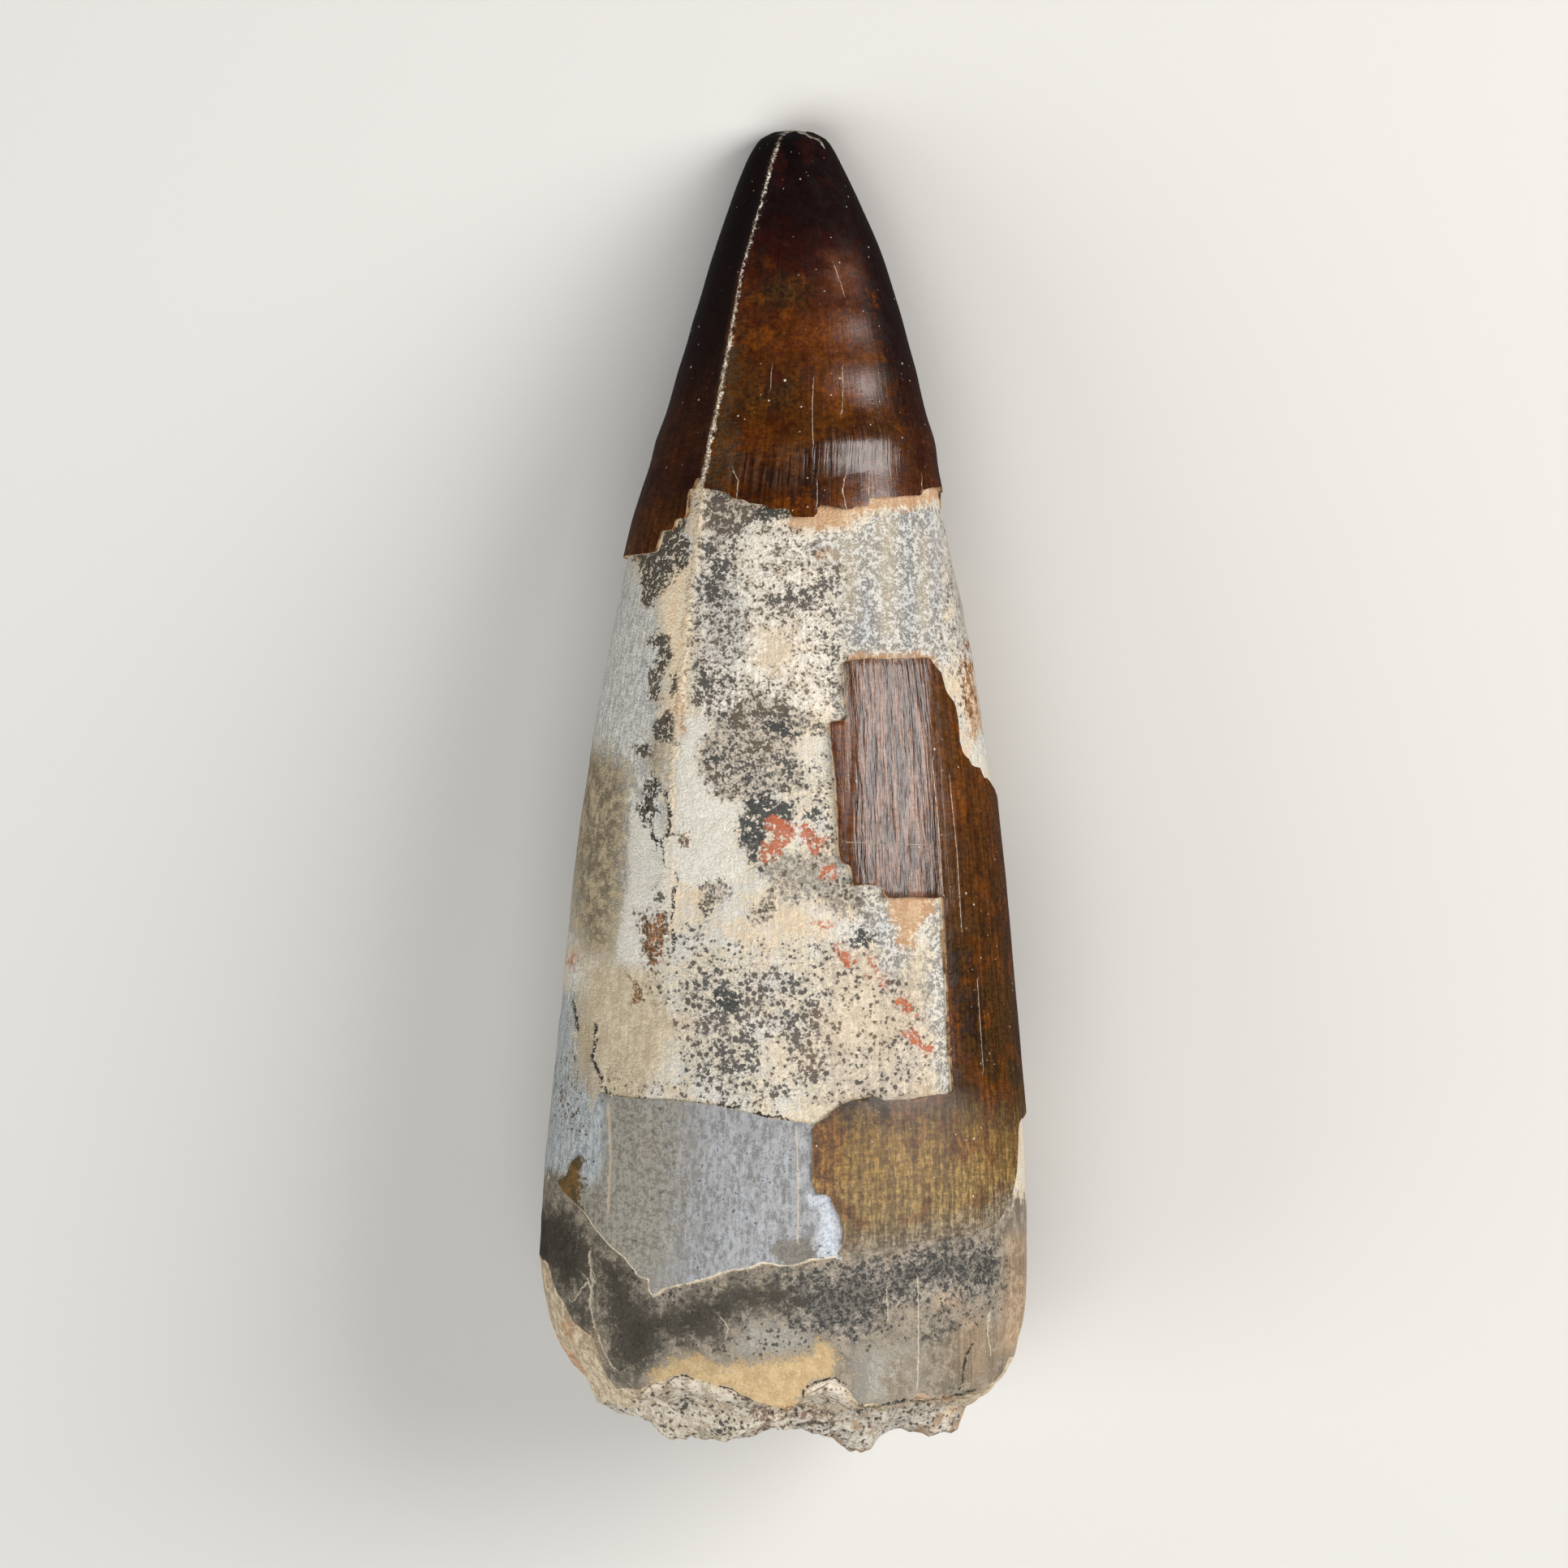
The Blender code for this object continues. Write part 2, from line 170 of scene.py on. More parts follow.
# Edges of the enamel that is left. In front: across and along. Behind: angle and along.
ledges = {
    "crownInFront":  [(-10.1, 15), (-9.6, 15), (-8.5, 15.1), (-8.3, 15.2), (-8.1, 15.6), (-8, 16.1),
                     (-7.9, 16.5), (-7.5, 16.5), (-7, 16.6), (-6.9, 17.2), (-6.6, 17.3), (-6.2, 17.2),
                     (-6.1, 17.7), (-6, 18.8), (-5.9, 19.2), (-5.7, 19.1), (-5.3, 19.9), (-5.1, 19.8),
                     (-4.9, 19.2), (-4.1, 19), (-3.5, 18.8), (-3.3, 18.5), (-2.5, 18.4), (-2.4, 18.2),
                     (-1.4, 18.1), (-1.1, 17.9), (-0.6, 17.8), (0.1, 17.9), (0.3, 17.6), (0.4, 17.3),
                     (2, 17.3), (2.05, 18.1), (2.7, 18), (3.7, 17.8), (4.1, 17.8), (4.5, 18), (5.3, 18),
                     (5.35, 18.6), (6.1, 18.6), (7.5, 18.7), (8.7, 18.8), (8.75, 19.1), (9.3, 19.3),
                     (9.9, 19.4)],
    "crownBehind":  [(100, 19), (108, 17.5), (118, 17.8), (128, 15.5), (140, 14.8), (150, 12.2),
                    (163, 12.6), (176, 10.5), (190, 11.8), (204, 11.2), (218, 13.6), (232, 13.2),
                    (246, 15.4), (258, 14.8)],
    "bandTop":  [(3.7, 8.1), (4.9, 8.3), (7, 8.3), (9.2, 8.4), (9.4, 8), (9.9, 7.5), (10.2, 6.3),
                (10.4, 6), (10.8, 5.5), (11, 4.5), (11.1, 3.1), (11.3, 2.3), (11.7, 1.9), (11.9, 1.5),
                (12.4, 1.4), (12.6, 0.8), (12.9, 0.7)],
    "bandBehind":  [(100, -1.5), (112, -1), (122, -4.5), (136, -4), (148, -7.5), (153, -12), (146, -17.5),
                   (132, -18.5), (118, -16.8), (104, -19.6), (94, -20.4)],
    "bandLow":  [(15, -21.2), (14.9, -21.7), (14.8, -24.5), (14.5, -25.8), (13.5, -27.7), (11.6, -28.3),
                (9, -28.6), (5.3, -29.1), (3.3, -29.7), (3.7, -28.7), (3.6, -27.8), (3.4, -26.9),
                (3, -26.3), (2.8, -25.6), (2, -25.6), (1.7, -25.1), (1.7, -21.2), (2.5, -20.9),
                (2.9, -20.4), (3.5, -20), (4.2, -19.7), (5, -19.5), (5.8, -19.4), (6.2, -19.7),
                (8.2, -19.6), (9.2, -19.4), (10.7, -19.3), (10.6, -17.8), (10.4, -15.1), (10.3, -12),
                (10.1, -8.8), (10, -6.7), (9.7, -6.9), (8.1, -6.8), (6.6, -6.9), (6.3, -6.7), (6.2, -6.1),
                (5, -6), (4.3, -6.1), (4.2, -4.8), (3.5, -4.6), (3.4, -3.7), (3.3, -1.4), (3.2, 0.6),
                (3, 2.3), (2.8, 4.3), (3.8, 4.4), (4, 4.7), (3.8, 6.2)],
    "platesBehind": [
        [(178, 3.5), (192, 4.6), (206, 3.2), (222, 4.2), (238, 1.5), (244, -3.5), (236, -9), (222, -8.2),
         (208, -12.5), (192, -11.4), (181, -6)],
        [(204, -20.8), (218, -22), (236, -20), (243, -25.5), (230, -28.6), (214, -27), (202, -25.2)]],
    "greyLayer":  [(-14.9, -24.9), (-14.6, -25), (-14.1, -24.6), (-13.9, -23.8), (-13.3, -23.3),
                  (-12.9, -23.9), (-12.1, -19.3), (-10, -19.6), (-7.3, -19.7), (-4.9, -19.9),
                  (-3.5, -20.2), (-0.9, -20.8), (2.2, -21.2), (2.2, -25.3), (3.3, -26), (4, -28.6),
                  (3.6, -29.6), (1.5, -29.8), (0.6, -30.1), (-0.3, -30.2), (-1, -30), (-1.6, -30),
                  (-2.5, -30.4), (-3.4, -30.4), (-5.1, -31), (-6.1, -31.3), (-7.1, -31.5), (-7.7, -31.6),
                  (-8.2, -32), (-8.5, -32.2), (-8.8, -31.9), (-8.8, -31.1), (-9.6, -30.9), (-9.7, -30.5),
                  (-10, -30.3), (-10.4, -29.7), (-11, -29.3), (-11.9, -28.4), (-12.4, -27.8),
                  (-12.9, -27)],
    "meanRadius": 12.5,
}


def distanceInside(across, along, outline):  # to the outline, positive inside it
    nearest = np.full(len(across), 1e9)
    inside = np.zeros(len(across), bool)
    for (x0, y0), (x1, y1) in zip(outline, outline[1:] + outline[:1]):
        dx, dy = x1 - x0, y1 - y0
        t = np.clip(((across - x0) * dx + (along - y0) * dy) / (dx * dx + dy * dy + 1e-12), 0, 1)
        nearest = np.minimum(nearest, np.hypot(across - x0 - t * dx, along - y0 - t * dy))
        if dy:
            beyond = ((y0 > along) != (y1 > along)) & (across < x0 + (along - y0) * dx / dy)
            inside ^= beyond
    return np.where(inside, nearest, -nearest)


def asAngles(outline):  # an outline seen from the front, laid out round the tooth
    across, along = np.array(outline, float).T
    share = (across - middleAcross(along)) / (halfWidth(along) + form["enamel"])
    return list(zip(np.degrees(np.arcsin(np.clip(share, -1, 1))), along))


def roundDistance(angle, along, outline):
    perDegree = math.radians(ledges["meanRadius"])
    flat = [(turn * perDegree, place) for turn, place in outline]
    here = distanceInside(angle * perDegree, along, flat)
    return np.maximum(here, distanceInside((angle + 360) * perDegree, along, flat))


def crownOutline():  # the lower edge once round the tooth, closed far above the tip
    behind = ledges["crownBehind"]
    left = [(turn - 360, place) for turn, place in behind if turn > 180]
    right = [(turn, place) for turn, place in behind if turn < 180]
    seam = (behind[7][1] * 2 + behind[8][1]) / 3
    edge = [(-180, seam)] + left + asAngles(ledges["crownInFront"]) + right + [(180, seam)]
    return edge + [(200, seam), (200, 70), (-200, 70), (-200, seam)]


def enamelDistance(angle, along):
    perDegree = math.radians(ledges["meanRadius"])
    crown = [(turn * perDegree, place) for turn, place in crownOutline()]
    found = distanceInside(angle * perDegree, along, crown)
    band = asAngles(ledges["bandTop"]) + ledges["bandBehind"] + asAngles(ledges["bandLow"])
    for outline in [band] + ledges["platesBehind"]:
        found = np.maximum(found, roundDistance(angle, along, outline))
    return found


def greyDistance(angle, along):
    return roundDistance(angle, along, asAngles(ledges["greyLayer"]))


def coveredDistance(angle, along):  # by the enamel or the grey layer
    return np.maximum(enamelDistance(angle, along), greyDistance(angle, along))


# how uneven the surface is, in millimetres
unevenness = {
    "rim": 0.35,
    "fineRim": 0.25,
    "dentine": 0.07,
    "layers": 0.02,
    "tipDome": 0.2,
    "wornTip": 0.05,
    "lumps": (0.7, 0.5, 0.3),  # of the break: large, middling, small
    "swollenMatrix": 0.45,
}


def rimHeight(angle):
    turn = np.radians(angle)
    ring = np.stack([12 * np.sin(turn), 12 * np.cos(turn), 1.7 + 0 * turn], 1)
    ripple = unevenness["rim"] * noiseAt(ring, 2.2, octaves=3)
    ripple += unevenness["fineRim"] * noiseAt(ring, 0.9, 4.0)
    return straight(form["rim"], (angle + 180) % 360 - 180) + ripple


# The blank: a tube whose ends are drawn in ring by ring
blank = {"radius": 15.5 * millimetre, "length": 84 * millimetre}


def selectWhere(tooth, wanted, kind):
    mesh = bmesh.from_edit_mesh(tooth.data)
    for edge in mesh.edges:
        edge.select_set(False)
    for part in getattr(mesh, kind):
        if wanted(part):
            part.select_set(True)
    mesh.select_flush_mode()
    bmesh.update_edit_mesh(tooth.data)


def drawIn(tooth, end, shares):  # closes an end of the tube with rings of those sizes
    place = end * blank["length"] / 2
    selectWhere(tooth, lambda edge: all(abs(v.co.y - place) < 1e-6 for v in edge.verts), "edges")
    last = 1.0
    for share in shares:
        bpy.ops.mesh.extrude_region_move()
        size = share / last
        bpy.ops.transform.resize(value=(size, 1, size), center_override=(0, place, 0))
        last = share
    bpy.ops.mesh.merge(type="CENTER")


def makeBlank():
    bpy.ops.object.select_all(action="DESELECT")
    bpy.ops.mesh.primitive_cylinder_add(
        vertices=form["columns"], radius=blank["radius"], depth=blank["length"], end_fill_type="NOTHING",
        location=(0, 0, 0), rotation=(-math.pi / 2, 0, 0))
    bpy.ops.object.transform_apply(location=True, rotation=True, scale=True)
    tooth = bpy.context.object
    tooth.name = "fossilTooth"
    bpy.ops.object.mode_set(mode="EDIT")
    bpy.ops.mesh.select_mode(type="EDGE")
    rings = form["breakRings"]
    drawIn(tooth, -1, [1 - (k / rings) ** form["ringsOutward"] for k in range(1, rings)])
    drawIn(tooth, 1, form["tipRings"])
    for count in form["strips"]:
        selectWhere(tooth, lambda edge: abs(edge.verts[0].co.y - edge.verts[1].co.y) > 1e-5, "edges")
        bpy.ops.mesh.subdivide(number_cuts=count - 1)
    bpy.ops.mesh.select_all(action="SELECT")
    bpy.ops.mesh.normals_make_consistent(inside=False)
    bpy.ops.object.mode_set(mode="OBJECT")
    return tooth


def places(tooth):  # of each vertex of the blank: angle, along, share of the way out
    co = np.zeros(len(tooth.data.vertices) * 3)
    tooth.data.vertices.foreach_get("co", co)
    x, y, z = co.reshape(-1, 3).T
    share = np.hypot(x, z) / blank["radius"]
    share = np.where(share > 0.996, 1.0, share)  # a cut edge's middle lies just inside the tube
    angle = np.degrees(np.arctan2(x, z))
    step = 360 / form["columns"]
    offset = (form["carinaAngle"] / step) % 1 * step
    angle = (angle + offset - firstAngle(tooth, step) + 180) % 360 - 180
    up = np.clip(y / blank["length"] + 0.5, 0, 1)
    along = rimHeight(angle) * (1 - up) + form["stations"][-1][0] * up
    angle = angle + straight(form["carinaTurn"], along)
    return angle, along, share, up


def firstAngle(tooth, step):
    first = tooth.data.vertices[0].co
    return math.degrees(math.atan2(first.x, first.z)) % step


def cutAlong(tooth, distance, where=None):  # new edges where the distance passes through nought
    angle, along, share, up = places(tooth)
    value = distance(angle, along)
    open = np.ones(len(value), bool) if where is None else where(angle, along) <= 1e-4
    mesh = bmesh.new()
    mesh.from_mesh(tooth.data)
    mesh.verts.ensure_lookup_table()
    crossing = []
    for edge in mesh.edges:
        a, b = (v.index for v in edge.verts)
        if open[a] and open[b] and value[a] * value[b] < 0 and min(share[a], share[b]) > 0.99:
            t = value[a] / (value[a] - value[b])
            if t < form["snap"]:
                value[a] = 0
            elif t > 1 - form["snap"]:
                value[b] = 0
            else:
                crossing.append(edge)
    onLine = [v for v in mesh.verts if value[v.index] == 0]
    for edge in crossing:
        first, second = edge.verts
        a, b = value[first.index], value[second.index]
        if a * b < 0:
            made = bmesh.utils.edge_split(edge, first, a / (a - b))[1]
            onLine.append(made)
    bmesh.ops.connect_verts(mesh, verts=onLine)
    mesh.to_mesh(tooth.data)
    mesh.free()


def liftLedge(tooth, distance, level):  # lifts the faces inside the outline onto a level of their own
    angle, along, share, up = places(tooth)
    value = distance(angle, along)
    inside = np.zeros(len(tooth.data.polygons), bool)
    for face in tooth.data.polygons:
        members = np.array(face.vertices)
        inside[face.index] = value[members].mean() > 0 and up[members].max() > 0.02
    bpy.ops.object.mode_set(mode="EDIT")
    bpy.ops.mesh.select_mode(type="FACE")
    bpy.ops.mesh.select_all(action="DESELECT")
    bpy.ops.object.mode_set(mode="OBJECT")
    tooth.data.polygons.foreach_set("select", inside)
    bpy.ops.object.mode_set(mode="EDIT")
    bpy.ops.mesh.extrude_region_move()
    mesh = bmesh.from_edit_mesh(tooth.data)
    layer = mesh.verts.layers.float["level"]
    for vertex in mesh.verts:
        if vertex.select:
            vertex[layer] = level
    bmesh.update_edit_mesh(tooth.data)
    bpy.ops.object.mode_set(mode="OBJECT")


def sunkPoints(points, share):  # the broken end: a rough wall, and lumpy matrix in the middle
    steps = form["breakSteps"]
    sunk = straight(steps, share)
    across, rim, up = points.T
    upper = np.clip(0.5 + up / 20, 0, 1)
    matrix = straight(form["matrixEdge"], across) + 3 * (1 - upper)
    along = rim + (form["wallEnd"] - rim) * np.minimum(sunk, 1)
    along += (matrix - along) * np.maximum(sunk - 1, 0)
    flat = np.stack([across, up, np.full(len(up), 4.0)], 1)
    inward = np.minimum(sunk, 1)
    large, middling, small = unevenness["lumps"]
    lumps = large * noiseAt(flat, 4.5) + middling * noiseAt(flat, 1.7, 3.1)
    lumps += small * noiseAt(flat, 0.8, 5.7, 3)
    along += inward * lumps
    inMatrix = nearestOutline(across, along, stains["matrix"]["outlines"])
    swollen = unevenness["swollenMatrix"] * eased(inMatrix, -0.1, 0.9)
    up = up + swollen * eased(up, 0, 6) + inward * 0.25 * noiseAt(flat, 1.1, 9.3, 3)
    return np.stack([across, np.maximum(along, -form["tipAt"]), up], 1), sunk


def shapeTooth(tooth):
    angle, along, share, up = places(tooth)
    level = np.zeros(len(angle))
    tooth.data.attributes["level"].data.foreach_get("value", level)
    thickness = np.interp(level, [0, 1, 2], [0, form["greyLayer"], form["enamel"]])
    thickness = thickness + (level > 1.5) * swellRise(angle, along)
    broken = (up < 1e-6) & (share < 1)
    worn = (up > 1 - 1e-6) & (share < 1)
    spread = np.where(broken | worn, share, 1.0)
    points = surfacePoints(angle, along, thickness, spread)
    dome = unevenness["tipDome"] * (1 - share[worn] ** 4)
    points[worn, 1] += dome + unevenness["wornTip"] * noiseAt(points[worn], 0.7)
    bare = (level < 0.5) & ~broken & ~worn
    outward = np.stack([np.sin(np.radians(angle)), 0 * angle, np.cos(np.radians(angle))], 1)
    relief = unevenness["dentine"] * noiseAt(points, 2.4, octaves=4) * bare
    relief += unevenness["layers"] * noiseAt(points, 3.1, 8.0) * (level > 0.5)
    points += outward * relief[:, None]
    sunk = np.zeros(len(angle))
    points[broken], sunk[broken] = sunkPoints(points[broken], share[broken])
    return points, angle, level, sunk


def layDown(points, wall):  # tilted onto the underside, its middle where the solid's is
    tilt = np.array(Matrix.Rotation(-math.atan(underSlope), 3, "X"))
    laid = points @ tilt.T
    low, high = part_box("tooth")
    middle = (laid.min(0) + laid.max(0)) / 2
    wanted = np.array((low + high) / 2) / millimetre
    shift = wanted - middle
    shift[2] = -laid[wall, 2].min() - form["sink"]
    laid = laid + shift
    laid[:, 2] = np.maximum(laid[:, 2], 0)
    return laid, shift


# What colours the surface, as outlines in millimetres seen from the front: across and along. A pattern mixes
# a stain's two tones, soft and ragged say how its edge runs, cover how much it hides, and lacy is the share
# of it that is left between fine grains.
stains = {
    "upperWhite": {
        "tone": (238, 231, 219), "second": (214, 198, 172), "pattern": "blotches", "soft": 0.9,
        "ragged": 1.6, "cover": 0.8, "outlines": [
            [(-6, 19.6), (0, 17.4), (3.4, 16.6), (3.6, 4), (0, 4.4), (-6, 3)]]},
    "dimLow": {
        "tone": (202, 187, 164), "second": (170, 153, 130), "pattern": "cloudy", "soft": 0.9,
        "ragged": 1.6, "cover": 0.75, "outlines": [
            [(2.2, -9.6), (9, -10), (9.4, -19.6), (2, -20.4)]]},
    "dimMargin": {
        "tone": (176, 168, 158), "second": (142, 133, 122), "pattern": "streaks", "soft": 0.6,
        "ragged": 1.2, "cover": 0.75, "outlines": [
            [(10, 17.6), (10.3, 12), (10.9, 9.5), (12.6, 3.6), (16, 3), (14, 12), (11.6, 19)]]},
    "rootBrown": {
        "tone": (118, 100, 78), "second": (148, 130, 106), "pattern": "streaks", "soft": 0.7,
        "ragged": 1.4, "cover": 0.7, "outlines": [
            [(10.4, -34.4), (13.2, -34), (13.4, -37.4), (11.8, -38.2), (10.2, -37)],
            [(6.6, -36.4), (8, -36), (8, -38.8), (6.6, -38.8)],
            [(14.2, -29.4), (16.4, -29), (16.4, -31.4), (14.4, -31.6)]]},
    "rootPeach": {
        "tone": (204, 172, 136), "second": (168, 140, 112), "pattern": "blotches", "soft": 0.5,
        "ragged": 1.3, "cover": 0.65, "outlines": [
            [(13.8, -28.6), (16.4, -28.4), (16.6, -33), (15.9, -36.2), (13.5, -36), (14, -32)],
            [(9.2, -32), (10.4, -31.4), (11.6, -31.6), (11, -33), (9.4, -33.4)],
            [(11.2, -33.8), (12.4, -33.6), (12.8, -35.4), (12.2, -36.6), (11.2, -35.6)],
            [(6, -29.8), (8.6, -29.2), (8.8, -29.9), (6.4, -30.4)],
            [(-15.8, -30.2), (-15.1, -30.2), (-15.1, -31), (-15.8, -31)],
            [(-12.8, -34.6), (-12, -34.4), (-11.9, -36.6), (-12.5, -36.4)]]},
    "greyWhite": {
        "tone": (217, 214, 207), "second": (122, 118, 110), "pattern": "worms", "soft": 0.6,
        "ragged": 1.2, "cover": 0.9, "outlines": [
            [(3.3, 8.4), (3.2, 12), (3.4, 14), (1.2, 14.2), (1, 16.2), (4.2, 16.6), (5.5, 17.5),
             (9.5, 18.2), (10.6, 17), (10.6, 12), (10.9, 8), (9.4, 8)],
            [(8.8, -7.2), (10.4, -7.2), (10.9, -19.2), (9.7, -19.2), (9.2, -15), (9, -10)],
            [(4.2, -6), (6.6, -6.8), (8.3, -9.4), (7.6, -11.6), (6, -11.4), (5.6, -9.7), (4.4, -9.4)],
            [(2.9, 6.3), (4, 6.3), (4, 4.2), (2.8, 4.2)],
            [(-5.8, 13.6), (-3.2, 13.8), (-2.2, 12), (-2.4, 8.6), (-3.4, 7.2), (-5, 8)]]},
    "bluishBands": {
        "tone": (192, 194, 194), "second": (112, 114, 114), "pattern": "worms", "soft": 0.5, "ragged": 1,
        "cover": 0.75, "outlines": [
            [(7.3, 17.6), (8.3, 17.8), (8.4, 12), (8.2, 9), (7.4, 9), (7.2, 12)],
            [(9.1, 17.8), (9.9, 17.8), (10.1, 12), (9.4, 9.4), (9, 10)],
            [(4.4, 13), (5.6, 13.4), (5.8, 9.4), (4.6, 9.2)],
            [(5.6, -8), (6.6, -8), (6.6, -11.8), (6, -11.8)]]},
    "creamBands": {
        "tone": (206, 193, 168), "second": (168, 153, 128), "pattern": "streaks", "soft": 0.5,
        "ragged": 1, "cover": 0.6, "outlines": [
            [(6, 17), (6.9, 17.2), (6.8, 10), (6.2, 10)], [(8.6, 16), (9, 16), (9.1, 10.4), (8.7, 10.4)],
            [(10.2, 15), (10.9, 14), (11.6, 9.4), (10.8, 9.4)],
            [(3.6, 15.6), (4.4, 15.6), (4.4, 11), (3.8, 11)]]},
    "bluishWhite": {
        "tone": (222, 220, 213), "second": (172, 173, 170), "pattern": "flecks", "soft": 0.5,
        "ragged": 0.9, "cover": 0.9, "outlines": [
            [(-19, 15.2), (-9.8, 14.6), (-9.2, 12.9), (-8.9, 11.6), (-8.3, 11.2), (-8.3, 10), (-8.7, 9.2),
             (-8.6, 8), (-8.4, 6.5), (-8, 5), (-8.3, 2.5), (-7.6, 0), (-8, -3), (-9, -5), (-10.5, -8),
             (-13.2, -10), (-19, -11)],
            [(9.7, 17), (10.3, 12), (10.7, 9.5), (11, 8), (11.6, 5), (12, 2), (19, 1), (19, 19.2),
             (9.9, 18.6)]]},
    "coolStrip": {
        "tone": (186, 192, 194), "second": (142, 149, 153), "pattern": "flecks", "soft": 0.5,
        "ragged": 0.9, "cover": 0.9, "outlines": [
            [(-19, -12.6), (-13.3, -12.8), (-13.2, -18), (-12, -19.2), (-11.4, -20.4), (-11.8, -24.8),
             (-19, -25)]]},
    "oliveStain": {
        "tone": (104, 86, 50), "second": (184, 164, 126), "pattern": "blotches", "soft": 1.1,
        "ragged": 1.2, "cover": 0.85, "outlines": [
            [(-13.4, 3.4), (-10.3, 2), (-9.7, 0.5), (-9.6, -1.5), (-9.8, -3.5), (-10, -6.5),
             (-10.4, -8.6), (-10.8, -10.6), (-13, -10.6), (-14, -8), (-14.2, -1)],
            [(-13, -13.4), (-12.2, -13.2), (-12, -16), (-12.3, -19.2), (-13.2, -18.6)],
            [(-8.4, 3.2), (-7.8, 3), (-7.6, 0.8), (-8.2, 0.6), (-9, 1.8)]]},
    "smoothWhite": {
        "tone": (230, 225, 213), "second": (212, 206, 192), "pattern": "streaks", "soft": 0.22,
        "ragged": 0.5, "cover": 1, "outlines": [
            [(-6.9, 4.8), (-5.9, 4.7), (-5, 4.6), (-4.9, 3.4), (-5.5, 2.8), (-5.5, 1.5), (-5, 0.8),
             (-4.4, 0.4), (-4.2, -0.5), (-3, -0.7), (-2.3, -1), (-2.9, -2), (-3.2, -3), (-2.6, -4.8),
             (-3, -5.7), (-4.8, -6.2), (-6, -6.2), (-7, -6), (-7.2, -3), (-7, 0), (-6.9, 3)],
            [(-9.8, 0), (-7.4, -3), (-7.3, -8), (-8, -11.5), (-10.8, -11), (-10, -6)]]},
    "tanLobe": {
        "tone": (212, 196, 166), "second": (190, 172, 143), "pattern": "blotches", "soft": 0.7,
        "ragged": 0.8, "cover": 0.9, "outlines": [
            [(-12.9, -11), (-9.6, -11.4), (-7.7, -12.2), (-7.3, -15), (-8, -17.5), (-9, -19.8),
             (-12.2, -19.8), (-11.7, -18), (-12.4, -16.5)]]},
    "ridgeCream": {
        "tone": (252, 234, 203), "second": (240, 210, 170), "pattern": "streaks", "soft": 0.3,
        "ragged": 0.6, "cover": 0.9, "outlines": [
            [(-7.1, 14), (-5.9, 15.3), (-5.9, 16.5), (-5.7, 19.6), (-4.9, 19.6), (-5, 17), (-5.4, 15),
             (-5.8, 13), (-6, 9), (-6.1, 6), (-6.2, 4), (-6.9, 4), (-7.3, 5), (-7.5, 7.5), (-7.4, 9),
             (-7.9, 10.5), (-8, 12.5)],
            [(-7.2, 4), (-6.6, 4), (-6.8, -3), (-6.9, -9), (-7.4, -9), (-7.3, -3)]]},
    "peach": {
        "tone": (198, 162, 124), "second": (186, 142, 100), "pattern": "blotches", "soft": 0.28,
        "ragged": 0.6, "cover": 0.85, "outlines": [
            [(-7.1, 6), (-6.6, 6), (-6.5, 3.6), (-6.9, 3.4)],
            [(0, 16.8), (0.4, 17.6), (2, 17.6), (2, 18.3), (3.7, 18.1), (5.3, 18.3), (5.4, 18.9),
             (8.7, 19.2), (9.9, 19.9), (10.1, 18.8), (9, 18.2), (7.5, 17.9), (5.5, 17.7), (4.3, 17.3),
             (4, 16.8), (3, 16.6), (1.2, 16.5), (0.2, 16.3)],
            [(1.7, 14.7), (3, 14.6), (3.1, 15), (1.9, 15)],
            [(6.5, -6.6), (8, -6.6), (9.6, -6.6), (9.3, -7.6), (8.6, -8.3), (8.3, -9), (8.2, -10),
             (7.2, -9.9), (7.1, -8.8), (6.5, -7.9)],
            [(11.2, 8.4), (11.9, 8.2), (12.6, 4), (12, 3), (11.4, 5)],
            [(4, 8.5), (7, 8.6), (9.2, 8.6), (9.5, 8), (4, 8)]]},
    "warmPatch": {
        "tone": (226, 211, 188), "second": (216, 196, 166), "pattern": "blotches", "soft": 0.9,
        "ragged": 1.6, "cover": 0.6, "outlines": [
            [(-2, 11), (0.4, 11.2), (1.2, 9), (0.4, 7), (-2.2, 7.6)],
            [(0.6, 14), (2, 14), (2.2, 12.6), (1, 12.4)],
            [(4, -11.4), (6, -12), (6.4, -14.6), (4.6, -17.4), (3, -15.6), (3, -12.6)],
            [(-1.4, -15.6), (0.2, -15.6), (0.2, -18.8), (-1.4, -18.8)],
            [(2.2, 0.4), (3, 0.2), (3, -0.6), (2.4, -0.6)],
            [(0.9, 3.2), (1.9, 3.2), (1.9, 2.1), (0.9, 2.1)]]},
    "rust": {
        "tone": (172, 110, 46), "second": (72, 54, 36), "pattern": "streaks", "soft": 0.2, "ragged": 0.9,
        "cover": 0.9, "lacy": 0.86, "outlines": [
            [(-8.2, -7.9), (-7.6, -7.6), (-7.6, -9), (-7.9, -10), (-8.1, -11), (-8.5, -11.4),
             (-8.7, -10.5), (-8.9, -9.6), (-8.7, -8.6)],
            [(-9.7, -12.1), (-9.3, -12.1), (-9.3, -13.3), (-9.7, -13.3)],
            [(-6.8, -2.8), (-6.3, -2.8), (-6.3, -3.4), (-6.8, -3.4)],
            [(11.3, 9.4), (11.9, 9), (11.7, 8.6)], [(11.4, 8), (11.8, 8), (12, 5), (11.6, 5.2)]]},
    "lobes": {
        "tone": (216, 200, 176), "second": (38, 33, 29), "pattern": "worms", "soft": 0.16, "ragged": 0.4,
        "cover": 0.92, "outlines": [
            [(-5, 19.5), (-3.5, 19), (-2.5, 18.4), (-1.2, 18.2), (0.2, 18), (0.3, 17.2), (-0.3, 17),
             (-1.2, 17.2), (-2.2, 17.3), (-3, 16.8), (-3.6, 15.6), (-4.7, 14.2), (-5, 17.5)],
